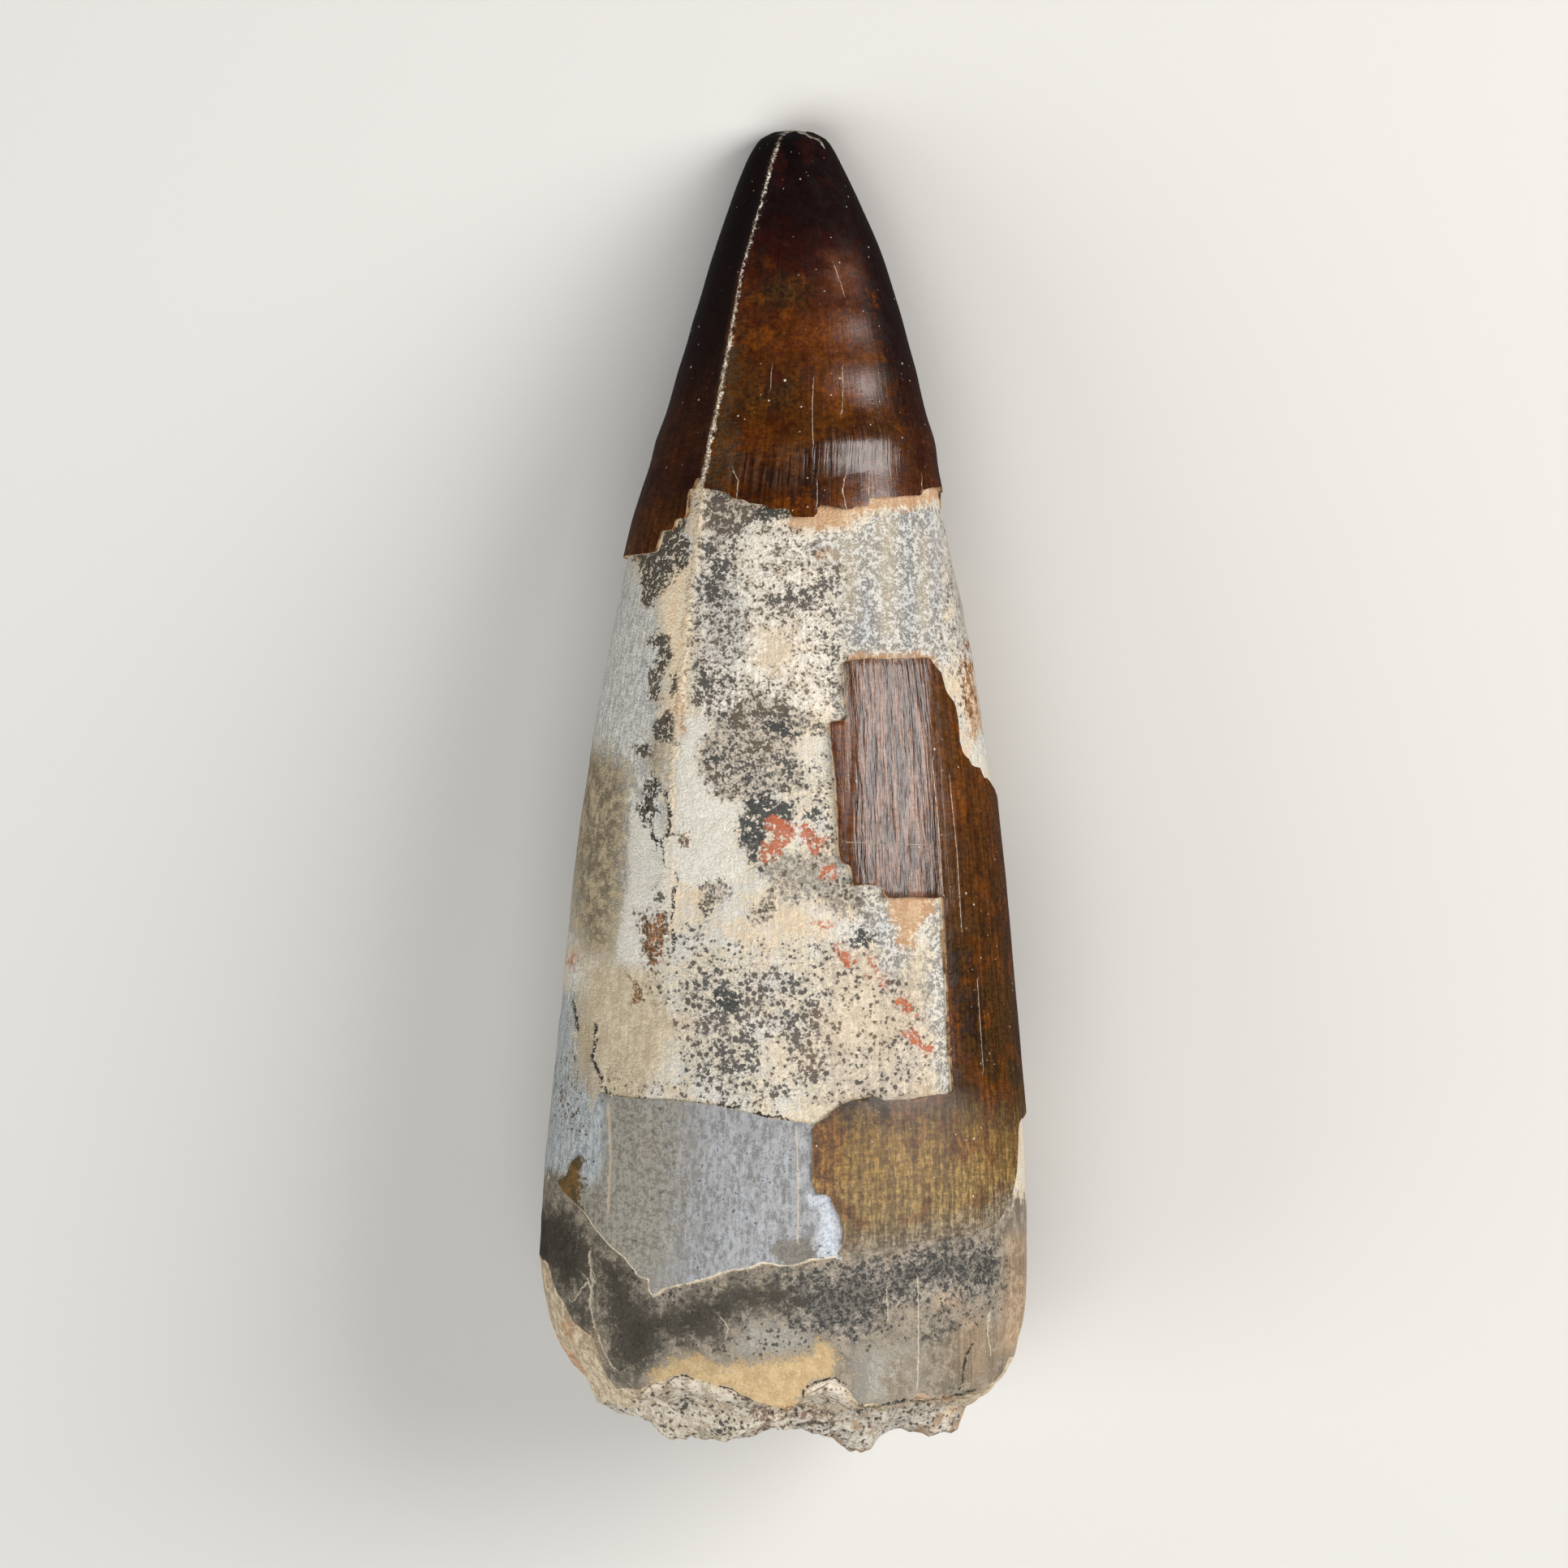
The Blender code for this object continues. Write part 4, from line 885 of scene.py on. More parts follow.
def markStains(tooth, across, along):
    for name, look in stains.items():
        setValue(tooth, name, nearestOutline(across, along, look["outlines"]))
    clear = np.ones(len(across))
    soft = speckles["soft"]
    for density, outline in speckles["outlines"]:
        clear *= 1 - density * eased(distanceInside(across, along, outline), -soft, soft)
    for x, y, radius, density in speckles["discs"]:
        clear *= 1 - density * eased(radius - np.hypot(across - x, along - y), -soft, soft)
    crowded = 1 - clear
    for outline in speckles["bare"]:
        crowded *= 1 - 0.8 * eased(distanceInside(across, along, outline), -soft, soft)
    setValue(tooth, "speckles", crowded)


def markLines(tooth, across, along, kind):
    nearest = np.full(len(across), 9.0)
    side = np.full(len(across), 9.0)
    reach = np.zeros(len(across))
    for width, points in lines[kind]:
        for k, ((x0, y0), (x1, y1)) in enumerate(zip(points, points[1:])):
            dx, dy = x1 - x0, y1 - y0
            length = math.hypot(dx, dy)
            t = ((across - x0) * dx + (along - y0) * dy) / length ** 2
            clipped = np.clip(t, 0, 1)
            distance = np.hypot(across - x0 - clipped * dx, along - y0 - clipped * dy)
            beyond = np.zeros(len(across))
            if k == 0:
                beyond = np.maximum(beyond, -t * length)
            if k == len(points) - 2:
                beyond = np.maximum(beyond, (t - 1) * length)
            turned = np.sign((across - x0) * dy - (along - y0) * dx)
            closer = distance < nearest
            nearest = np.where(closer, distance, nearest)
            side = np.where(closer, turned * distance / width, side)
            reach = np.where(closer, 1 - eased(beyond, 0, lines["reach"]), reach)
    setValue(tooth, kind + "Side", np.clip(side, -30, 30))
    setValue(tooth, kind + "Reach", reach * (1 - eased(nearest, lines["faintFrom"], lines["faintTo"])))


def markSurface(tooth, points, angle, sunk):
    across, along = seenPlaces(points, angle)
    markStains(tooth, across, along)
    markLines(tooth, across, along, "dark")
    markLines(tooth, across, along, "pale")
    front, behind = carinaAway(angle, points[:, 1]), carinaAway(angle, points[:, 1], 180)
    crest = np.where(np.abs(front) < np.abs(behind), front, behind) * math.pi / 180 * halfWidth(points[:, 1])
    setValue(tooth, "crest", np.clip(crest, -9, 9))
    setValue(tooth, "greyRim", np.clip(np.abs(greyDistance(angle, points[:, 1])), 0, 3))
    setValue(tooth, "sunk", sunk)
    setValue(tooth, "turned", np.abs(angle) / 90)
    grain = tooth.data.attributes.new("grain", "FLOAT_VECTOR", "POINT")
    turn = np.radians(angle)
    radius = ledges["meanRadius"]
    flat = np.stack([radius * np.sin(turn), points[:, 1], radius * np.cos(turn)], 1)
    grain.data.foreach_set("vector", flat.astype(np.float32).ravel())


finishes = ["brownEnamel", "enamelEdge", "bareDentine", "greyLayer", "greyLayerEdge", "brokenRoot"]


def sortFaces(tooth, level, sunk):  # which finish each face has
    for face in tooth.data.polygons:
        members = np.array(face.vertices)
        low, high = level[members].min(), level[members].max()
        if high - low > 0.5:
            kind = "greyLayerEdge" if high < 1.5 else "enamelEdge"
        elif high > 1.5:
            kind = "brownEnamel"
        elif high > 0.5:
            kind = "greyLayer"
        else:
            kind = "brokenRoot" if sunk[members].max() > 0 else "bareDentine"
        face.material_index = finishes.index(kind)


def makeTooth():
    tooth = makeBlank()
    tooth.data.attributes.new("level", "FLOAT", "POINT")
    cutAlong(tooth, enamelDistance)
    cutAlong(tooth, greyDistance, where=enamelDistance)
    print("edges of enamel and grey layer cut:", len(tooth.data.vertices), "vertices")
    liftLedge(tooth, coveredDistance, 1)
    liftLedge(tooth, enamelDistance, 2)
    points, angle, level, sunk = shapeTooth(tooth)
    laid, shift = layDown(points, sunk == 0)
    tooth.data.vertices.foreach_set("co", (laid * millimetre).ravel())
    markSurface(tooth, points, angle, sunk)
    dress(tooth, Vector(shift))
    sortFaces(tooth, level, sunk)
    bpy.ops.object.mode_set(mode="EDIT")
    bpy.ops.mesh.select_all(action="SELECT")
    bpy.ops.mesh.normals_make_consistent(inside=False)
    bpy.ops.mesh.select_all(action="DESELECT")
    bpy.ops.object.mode_set(mode="OBJECT")
    bpy.ops.object.select_all(action="DESELECT")
    tooth.select_set(True)
    bpy.context.view_layer.objects.active = tooth
    bpy.ops.object.shade_smooth_by_angle(angle=math.radians(form["sharpAngle"]))
    print("tooth shaped:", sum(len(face.vertices) - 2 for face in tooth.data.polygons), "triangles")
    return tooth, Vector(shift)


def tone(shade):  # a colour as a screen shows it, 0 to 255, as the shader needs it
    parts = [part / 255 for part in shade]
    return tuple(part / 12.92 if part < 0.04 else ((part + 0.055) / 1.055) ** 2.4 for part in parts) + (1.0,)


def feed(tree, socket, value):
    if isinstance(value, bpy.types.NodeSocket):
        tree.links.new(value, socket)
    else:
        socket.default_value = value


def add(tree, kind, inputs=None, output=0, **settings):
    made = tree.nodes.new("ShaderNode" + kind)
    for name, value in settings.items():
        setattr(made, name, value)
    for name, value in (inputs or {}).items():
        feed(tree, made.inputs[name], value)
    return made.outputs[output]


def calc(tree, operation, first, second=0.0, third=0.0):
    return add(tree, "Math", {0: first, 1: second, 2: third}, operation=operation)


def times(tree, first, second):
    return calc(tree, "MULTIPLY", first, second)


def larger(tree, first, second):
    return calc(tree, "MAXIMUM", first, second)


def weigh(tree, *parts):  # a sum of values, each with its weight
    total = 0.0
    for weight, value in parts:
        total = calc(tree, "MULTIPLY_ADD", value, weight, total)
    return total


def centred(tree, value, size):
    return times(tree, calc(tree, "SUBTRACT", value, 0.5), size)


def blend(tree, share, under, over, how="MIX"):
    return add(tree, "Mix", {0: share, 6: under, 7: over}, output=2, data_type="RGBA", blend_type=how)


def stain(tree, share, colour, shade):
    return blend(tree, share, colour, tone(shade))


def shadow(tree, share, colour, shade):
    return blend(tree, share, colour, tone(shade), "MULTIPLY")


def spread(tree, value, low, high, start=0.0, end=1.0, way="SMOOTHSTEP"):
    sockets = {"Value": value, "From Min": low, "From Max": high, "To Min": start, "To Max": end}
    return add(tree, "MapRange", sockets, interpolation_type=way)


def even(tree, value, low, high, start=0.0, end=1.0):
    return spread(tree, value, low, high, start, end, "LINEAR")


def cloud(tree, place, scale, detail=3.0, roughness=0.6):
    return add(tree, "TexNoise", {"Vector": place, "Scale": scale, "Detail": detail, "Roughness": roughness})


def stretched(tree, place, scale):
    return add(tree, "Mapping", {"Vector": place, "Scale": scale})


def cellsOf(tree, place, scale):  # each cell's own size, and how far from its middle a place is
    cells = tree.nodes.new("ShaderNodeTexVoronoi")
    feed(tree, cells.inputs["Vector"], place)
    cells.inputs["Scale"].default_value = scale
    return add(tree, "SeparateColor", {0: cells.outputs["Color"]}), cells.outputs["Distance"]


def mark(tree, name):
    return add(tree, "Attribute", output="Fac", attribute_name=name)


def startMaterial(name, shift):
    material = bpy.data.materials.new(name)
    material.use_nodes = True
    tree = material.node_tree
    tilt = math.atan(underSlope)
    place = -(Matrix.Rotation(tilt, 3, "X") @ shift)
    where = add(tree, "TexCoord", output="Object")
    size = 1 / millimetre
    sockets = {"Vector": where, "Location": place, "Rotation": (tilt, 0, 0), "Scale": (size, size, size)}
    return material, tree, add(tree, "Mapping", sockets)


def endMaterial(tree, colour, roughness, gloss, height, depth=millimetre):
    shader = tree.nodes["Principled BSDF"]
    feed(tree, shader.inputs["Base Color"], colour)
    feed(tree, shader.inputs["Roughness"], roughness)
    shader.inputs["Specular IOR Level"].default_value = gloss
    bump = add(tree, "Bump", {"Strength": 1.0, "Distance": depth, "Height": height})
    feed(tree, shader.inputs["Normal"], bump)


grains = {"spread": 0.052, "reach": 1.65}  # how the fine grains' values lie about a half


def grainLimit(share):  # the value that this share of the grains lies over
    return 0.5 + grains["spread"] * grains["reach"] * (1 - 2 * share)


def makePatterns(tree, seen):
    grain = add(tree, "Attribute", output="Vector", attribute_name="grain")
    slow = cloud(tree, seen, 0.3, 3.0, 0.5)
    middle = cloud(tree, seen, 1.1, 5.0, 0.62)
    fine = cloud(tree, seen, 2.6, 3.0, 0.65)
    tiny = cloud(tree, seen, 6.5, 2.0, 0.6)
    flecks = cloud(tree, stretched(tree, grain, (4.2, 1.2, 4.2)), 1.0, 3.0, 0.65)
    streak = cloud(tree, stretched(tree, grain, (3.6, 0.2, 3.6)), 1.0, 4.0, 0.62)
    wrinkle = cloud(tree, stretched(tree, grain, (3.0, 0.26, 3.0)), 1.0, 3.0, 0.55)
    mixed = weigh(tree, (0.6, fine), (0.4, tiny))
    winding = calc(tree, "ABSOLUTE", centred(tree, cloud(tree, seen, 3.0, 2.0, 0.5), 1.0))
    worm = even(tree, winding, 0.012, 0.036, 1.0, 0.0)
    fineGrains = spread(tree, mixed, 0.45, 0.56)
    return {
        "grain": grain, "slow": slow, "middle": middle, "fine": fine, "tiny": tiny, "mixed": mixed,
        "streak": streak, "wrinkle": wrinkle, "worm": worm, "grains": fineGrains,
        "carved": weigh(tree, (1.0, mixed), (-0.04, worm)),
        "worms": weigh(tree, (0.9, fineGrains), (-0.6, worm), (0.22, 1.0)),
        "ragged": weigh(tree, (1.0, centred(tree, middle, 3.0)), (1.0, centred(tree, mixed, 3.4))),
        "flecks": spread(tree, weigh(tree, (0.62, flecks), (0.38, tiny)), 0.44, 0.56),
        "streaks": spread(tree, weigh(tree, (0.5, streak), (0.25, middle), (0.25, tiny)), 0.44, 0.56),
        "cloudy": spread(tree, weigh(tree, (0.6, middle), (0.4, mixed)), 0.42, 0.58),
        "blotches": spread(tree, weigh(tree, (0.5, middle), (0.5, mixed)), 0.44, 0.56),
        "wrinkles": spread(tree, weigh(tree, (0.8, wrinkle), (0.2, tiny)), 0.54, 0.45),
    }


def paintStains(tree, colour, names, patterns):
    for name in names:
        look = stains[name]
        edge = calc(tree, "MULTIPLY_ADD", patterns["ragged"], look["ragged"], mark(tree, name))
        cover = spread(tree, edge, -look["soft"], look["soft"], 0.0, look["cover"])
        if "lacy" in look:
            limit = grainLimit(look["lacy"])
            left = even(tree, patterns["carved"], limit - 0.026, limit + 0.022)
            cover = times(tree, cover, left)
        tones = blend(tree, patterns[look["pattern"]], tone(look["tone"]), tone(look["second"]))
        colour = blend(tree, cover, colour, tones)
    return colour


def lineMask(tree, kind, wobble, strength):
    side = calc(tree, "ABSOLUTE", calc(tree, "ADD", mark(tree, kind + "Side"), wobble))
    line = times(tree, spread(tree, side, 0.4, 1.5, 1.0, 0.0), mark(tree, kind + "Reach"))
    return times(tree, line, strength)


def alongTooth(tree, seen):
    parts = tree.nodes.new("ShaderNodeSeparateXYZ")
    feed(tree, parts.inputs[0], seen)
    return parts.outputs["Y"]


specks = {
    "ground": (198, 192, 183), "worm": (124, 113, 101), "halo": (164, 154, 140),
    "dark": (50, 49, 48), "brown": (82, 66, 52), "haloCover": 0.45, "darkCover": 0.86,
    "dotsFrom": (6.0, -6.0),  # where along the tooth the lacy specks give way to round dots
    "dotsPerMillimetre": 2.6,
}


def speckMasks(tree, seen, crowded, patterns):  # dark middles, and the soft grey round them
    clustered = times(tree, crowded, spread(tree, patterns["middle"], 0.38, 0.62, 0.5, 1.5))
    dotty = spread(tree, alongTooth(tree, seen), *specks["dotsFrom"])
    share = weigh(tree, (1.0, clustered), (-0.22, dotty), (-0.11, 1.0))
    limit = even(tree, share, 0.0, 1.0, grainLimit(0.0), grainLimit(1.0))
    above = calc(tree, "SUBTRACT", patterns["mixed"], limit)
    above = weigh(tree, (1.0, above), (-0.03, patterns["worm"]))
    size, away = cellsOf(tree, seen, specks["dotsPerMillimetre"])
    few = calc(tree, "MINIMUM", clustered, 0.55)
    few = times(tree, few, even(tree, dotty, 0.0, 1.0, 0.45, 1.0))
    radius = weigh(tree, (0.3, size), (0.68, few), (1.9, patterns["mixed"]), (-1.0, away))
    dot = calc(tree, "SUBTRACT", radius, 1.02)
    some = spread(tree, crowded, 0.03, 0.12)
    core = larger(tree, even(tree, above, 0.0, 0.034), even(tree, dot, 0.0, 0.09))
    halo = larger(tree, even(tree, above, -0.04, 0.0), even(tree, dot, -0.24, 0.0))
    return times(tree, core, some), times(tree, halo, some)


def paintSpecks(tree, colour, core, halo, patterns, crowded):
    uneven = spread(tree, patterns["middle"], 0.4, 0.6, 0.4, 1.0)
    ground = times(tree, spread(tree, crowded, 0.15, 0.7, 0.0, 0.6), uneven)
    colour = stain(tree, ground, colour, specks["ground"])
    wormed = times(tree, patterns["worm"], spread(tree, crowded, 0.1, 0.6, 0.0, 0.6))
    colour = stain(tree, wormed, colour, specks["worm"])
    colour = stain(tree, times(tree, halo, specks["haloCover"]), colour, specks["halo"])
    browner = spread(tree, patterns["slow"], 0.42, 0.6)
    dark = blend(tree, browner, tone(specks["dark"]), tone(specks["brown"]))
    return blend(tree, times(tree, core, specks["darkCover"]), colour, dark)


greyRim = {"from": (-25.5, -27.5), "onDentine": (220, 203, 174), "onGrey": (222, 206, 178)}


def greyRimMask(tree, along, patterns):  # a cream line along the grey layer's lower edge
    rim = weigh(tree, (1.0, mark(tree, "greyRim")), (-1.0, centred(tree, patterns["fine"], 0.3)))
    rim = times(tree, spread(tree, rim, 0.02, 0.12, 0.9, 0.0), spread(tree, along, *greyRim["from"]))
    return times(tree, rim, spread(tree, patterns["tiny"], 0.4, 0.54, 0.4, 1.0))


dentine = {
    "tones": ((216, 203, 179), (214, 210, 201)), "warm": (220, 192, 156), "grey": (176, 168, 152),
    # the darker tone beside the ridge is a painted shadow along its flank
    "streak": (140, 130, 114), "ridge": (230, 212, 184), "shadowBesideRidge": (136, 124, 106),
    "paleLine": (220, 206, 180), "darkLine": (40, 38, 36), "ridgeFrom": (-9.0, 0.0),
    "roughness": 0.6, "gloss": 0.3,
    "underSpecks": ["upperWhite", "dimLow", "ridgeCream", "greyWhite", "bluishBands", "creamBands",
                    "bluishWhite", "dimMargin", "coolStrip", "oliveStain", "smoothWhite", "tanLobe",
                    "warmPatch", "lobes", "smear", "rootGrey", "rootPale", "rootPeach", "rootBrown", "peach"],
    "overSpecks": ["rust", "slate", "darkOlive", "red", "rootSlate", "rootDark", "yellowCream", "matrix",
                   "rustyMatrix"],
}


def dentineGround(tree, seen, patterns):
    pale = weigh(tree, (0.6, cloud(tree, seen, 0.55, 4.0, 0.6)), (0.4, patterns["fine"]))
    first, second = dentine["tones"]
    colour = blend(tree, spread(tree, pale, 0.44, 0.56), tone(first), tone(second))
    colour = stain(tree, spread(tree, patterns["slow"], 0.5, 0.64, 0.0, 0.45), colour, dentine["warm"])
    colour = stain(tree, spread(tree, patterns["mixed"], 0.5, 0.6, 0.0, 0.35), colour, dentine["grey"])
    colour = paintStains(tree, colour, dentine["underSpecks"], patterns)
    return shadow(tree, spread(tree, patterns["streak"], 0.4, 0.6, 0.16, 0.0), colour, dentine["streak"])


def dentineMaterial(shift):
    material, tree, seen = startMaterial("bareDentine", shift)
    patterns = makePatterns(tree, seen)
    colour = dentineGround(tree, seen, patterns)
    core, halo = speckMasks(tree, seen, mark(tree, "speckles"), patterns)
    colour = paintSpecks(tree, colour, core, halo, patterns, mark(tree, "speckles"))
    colour = paintStains(tree, colour, dentine["overSpecks"], patterns)
    along = alongTooth(tree, seen)
    crest = weigh(tree, (0.8, centred(tree, patterns["mixed"], 1.0)),
                  (1.2, centred(tree, patterns["middle"], 1.0)), (1.0, mark(tree, "crest")))
    onRidge = times(tree, spread(tree, along, *dentine["ridgeFrom"]),
                    spread(tree, patterns["fine"], 0.4, 0.55, 0.3, 1.0))
    ridge = times(tree, spread(tree, calc(tree, "ABSOLUTE", crest), 0.06, 0.36, 1.0, 0.0), onRidge)
    colour = stain(tree, times(tree, ridge, 0.6), colour, dentine["ridge"])
    # painted shadow: a thin darker line beside the ridge, on its right flank
    beside = calc(tree, "ABSOLUTE", calc(tree, "SUBTRACT", crest, 0.4))
    beside = times(tree, spread(tree, beside, 0.0, 0.18, 0.4, 0.0), onRidge)
    colour = stain(tree, beside, colour, dentine["shadowBesideRidge"])
    colour = stain(tree, greyRimMask(tree, along, patterns), colour, greyRim["onDentine"])
    wobble = weigh(tree, (6.0, centred(tree, patterns["fine"], 1.0)),
                   (3.0, centred(tree, patterns["tiny"], 1.0)))
    colour = stain(tree, lineMask(tree, "pale", wobble, 0.6), colour, dentine["paleLine"])
    broken = spread(tree, patterns["mixed"], 0.43, 0.5)
    colour = stain(tree, lineMask(tree, "dark", wobble, broken), colour, dentine["darkLine"])
    height = weigh(tree, (0.05, patterns["streak"]), (0.1, patterns["mixed"]), (-0.03, core),
                   (0.03, patterns["worms"]), (0.09, ridge))
    endMaterial(tree, colour, dentine["roughness"], dentine["gloss"], height)
    return material


enamel = {
    # from the root to the tip: along, tone
    "tones": [(-30, (156, 148, 122)), (-28.6, (156, 138, 100)), (-26, (168, 140, 82)),
              (-22.5, (152, 118, 54)), (-20.2, (106, 78, 36)), (-18.5, (78, 52, 16)), (-8, (84, 51, 12)),
              (0, (96, 56, 14)), (8, (98, 58, 16)), (17, (92, 50, 10)), (19.6, (76, 40, 8)),
              (22, (88, 49, 10)), (26, (88, 47, 8)), (30, (88, 42, 8)), (33, (58, 20, 5)), (36, (30, 5, 3)),
              (42, (12, 2, 2))],
    # the two side tones are painted shade for the crown's sides, which turn away from the light
    "warm": (122, 66, 8), "red": (54, 10, 4), "sides": (50, 13, 3), "sidesNearTip": (24, 3, 1),
    "grainy": (110, 92, 80), "streaky": (110, 74, 46), "weave": (112, 86, 46), "dashes": (132, 104, 52),
    "paleLines": ((232, 222, 204), (168, 150, 124)),
    "crownFrom": (16.0, 20.0), "lowEndFrom": (-18.5, -21.0), "dustPerMillimetre": 2.0,
    "roughness": (0.19, 0.28), "gloss": 0.5,
    "stains": ["amber", "orangeBrown", "greenish", "blackishAndShade", "finelyWrinkledSheen", "wrinkledSheen", "hazyEnd",
               "scuffed"],
}


def enamelRamp(tree, along, patterns):
    ramp = tree.nodes.new("ShaderNodeValToRGB")
    low, high = enamel["tones"][0][0], enamel["tones"][-1][0]
    elements = ramp.color_ramp.elements
    for k, (place, shade) in enumerate(enamel["tones"]):
        element = elements[k] if k < 2 else elements.new((place - low) / (high - low))
        element.position = (place - low) / (high - low)
        element.color = tone(shade)
    wavering = calc(tree, "ADD", centred(tree, patterns["middle"], 4.0), along)
    sockets = {"Value": wavering, "From Min": low, "From Max": high}
    feed(tree, ramp.inputs["Fac"], add(tree, "MapRange", sockets))
    return ramp.outputs["Color"]


def enamelColour(tree, along, seen, patterns):
    crown = spread(tree, along, *enamel["crownFrom"])
    warm = spread(tree, cloud(tree, seen, 0.5, 4.0, 0.6), 0.5, 0.6, 0.0, 0.6)
    warm = times(tree, warm, spread(tree, along, 36.0, 31.0))
    colour = stain(tree, warm, enamelRamp(tree, along, patterns), enamel["warm"])
    red = cloud(tree, stretched(tree, seen, (0.62, 0.5, 0.62)), 1.0, 4.0, 0.6)
    red = times(tree, spread(tree, red, 0.5, 0.62, 0.0, 0.6), crown)
    colour = stain(tree, red, colour, enamel["red"])
    colour = paintStains(tree, colour, enamel["stains"], patterns)
    # painted shade: the crown's sides and the facet left of its ridge are darkened in the colour, the more so
    # towards the tip
    turned = weigh(tree, (1.0, mark(tree, "turned")), (1.0, centred(tree, patterns["middle"], 0.5)))
    shadedLeftFacet = spread(tree, mark(tree, "crest"), -0.1, -0.7)
    sides = larger(tree, spread(tree, turned, 0.4, 0.62), shadedLeftFacet)
    sides = times(tree, sides, spread(tree, turned, 1.2, 0.95))
    dark = times(tree, times(tree, sides, crown), spread(tree, along, 18.0, 29.0, 0.45, 0.96))
    nearTip = spread(tree, along, 20.0, 31.0)
    paintedShadeTone = blend(tree, nearTip, tone(enamel["sides"]), tone(enamel["sidesNearTip"]))
    colour = blend(tree, dark, colour, paintedShadeTone)
    return shadow(tree, spread(tree, patterns["mixed"], 0.44, 0.58, 0.0, 0.45), colour, enamel["grainy"])


def ridgeLine(tree, along, patterns):  # the worn ridge is a pale line, thinner towards the tip
    crest = weigh(tree, (1.0, mark(tree, "crest")), (1.0, centred(tree, patterns["mixed"], 1.1)))
    width = even(tree, along, 19.0, 32.0, 0.16, 0.05)
    beside = calc(tree, "SUBTRACT", calc(tree, "ABSOLUTE", crest), width)
    line = times(tree, spread(tree, beside, -0.05, 0.07, 1.0, 0.0), spread(tree, along, 14.0, 16.0))
    return times(tree, line, spread(tree, patterns["tiny"], 0.42, 0.54, 0.15, 1.0))


def enamelMaterial(shift):
    material, tree, seen = startMaterial("brownEnamel", shift)
    along = alongTooth(tree, seen)
    patterns = makePatterns(tree, seen)
    colour = enamelColour(tree, along, seen, patterns)
    streaky = spread(tree, patterns["streak"], 0.42, 0.58, 1.0, 0.0)
    streaky = times(tree, streaky, spread(tree, along, 18.0, 21.0, 0.5, 0.25))
    colour = shadow(tree, streaky, colour, enamel["streaky"])
    weave = cloud(tree, stretched(tree, patterns["grain"], (1.5, 5.5, 1.5)), 1.0, 3.0, 0.65)
    colour = shadow(tree, spread(tree, weave, 0.42, 0.58, 0.3, 0.0), colour, enamel["weave"])
    dashes = cloud(tree, stretched(tree, patterns["grain"], (7.0, 1.6, 7.0)), 1.0, 3.0, 0.6)
    lowEnd = spread(tree, along, *enamel["lowEndFrom"])
    dashes = times(tree, spread(tree, dashes, 0.45, 0.58, 0.0, 0.5), lowEnd)
    colour = shadow(tree, dashes, colour, enamel["dashes"])
    cracks = lineMask(tree, "pale", centred(tree, patterns["fine"], 5.0), 0.45)
    size, away = cellsOf(tree, seen, enamel["dustPerMillimetre"])
    dust = weigh(tree, (0.24, size), (0.45, patterns["slow"]), (-1.0, away), (-0.34, 1.0))
    dust = times(tree, spread(tree, dust, -0.03, 0.06), 0.7)
    pale = larger(tree, larger(tree, ridgeLine(tree, along, patterns), cracks), dust)
    first, second = enamel["paleLines"]
    colour = blend(tree, pale, colour, blend(tree, patterns["grains"], tone(first), tone(second)))
    worn = spread(tree, patterns["middle"], 0.4, 0.6, *enamel["roughness"])
    duller = spread(tree, along, 24.0, 27.0, 0.0, 0.07)
    rough = weigh(tree, (0.4, pale), (0.3, lowEnd), (1.0, worn), (1.0, duller))
    deep = spread(tree, mark(tree, "wrinkledSheen"), -0.4, 0.4, 0.02, 0.15)
    deep = larger(tree, deep, spread(tree, mark(tree, "finelyWrinkledSheen"), -0.6, 0.6, 0.0, 0.07))
    wrinkledSheen = times(tree, patterns["wrinkle"], deep)
    height = weigh(tree, (1.0, wrinkledSheen), (0.012, patterns["mixed"]), (0.02, pale))
    endMaterial(tree, colour, rough, enamel["gloss"], height)
    return material


brokenEdges = {  # the broken edges of the two layers: their two tones
    "enamelEdge": ((176, 140, 98), (92, 58, 28)), "greyLayerEdge": ((216, 202, 176), (180, 166, 142)),
    "roughness": 0.6, "gloss": 0.5, "depth": 0.05,
}


def edgeMaterial(shift, name):
    material, tree, seen = startMaterial(name, shift)
    patches = spread(tree, cloud(tree, seen, 1.6, 4.0, 0.6), 0.42, 0.6)
    first, second = brokenEdges[name]
    colour = blend(tree, patches, tone(first), tone(second))
    depth = brokenEdges["depth"] * millimetre
    endMaterial(tree, colour, brokenEdges["roughness"], brokenEdges["gloss"], cloud(tree, seen, 5.0), depth)
    return material


greyLayer = {
    "tones": ((154, 154, 155), (116, 116, 115)), "streak": (150, 140, 126), "paleLine": (200, 180, 152),
    "dots": (70, 64, 58), "roughness": 0.5, "gloss": 0.35,
    "stains": ["warmGrey", "coolStrip", "sugary", "blueWhite", "greyOval", "brownStub"],
}


def greyLayerMaterial(shift):
    material, tree, seen = startMaterial("greyLayer", shift)
    patterns = makePatterns(tree, seen)
    first, second = greyLayer["tones"]
    colour = blend(tree, patterns["flecks"], tone(first), tone(second))
    colour = paintStains(tree, colour, greyLayer["stains"], patterns)
    streaky = spread(tree, patterns["streak"], 0.4, 0.6, 0.2, 0.0)
    colour = shadow(tree, streaky, colour, greyLayer["streak"])
    pale = lineMask(tree, "pale", centred(tree, patterns["fine"], 4.0), 0.55)
    colour = stain(tree, pale, colour, greyLayer["paleLine"])
    dots = spread(tree, cloud(tree, seen, 2.6, 1.0, 0.5), 0.72, 0.75, 0.0, 0.8)
    colour = stain(tree, dots, colour, greyLayer["dots"])
    colour = stain(tree, greyRimMask(tree, alongTooth(tree, seen), patterns), colour, greyRim["onGrey"])
    height = weigh(tree, (0.03, patterns["streak"]), (0.04, patterns["mixed"]))
    endMaterial(tree, colour, greyLayer["roughness"], greyLayer["gloss"], height)
    return material


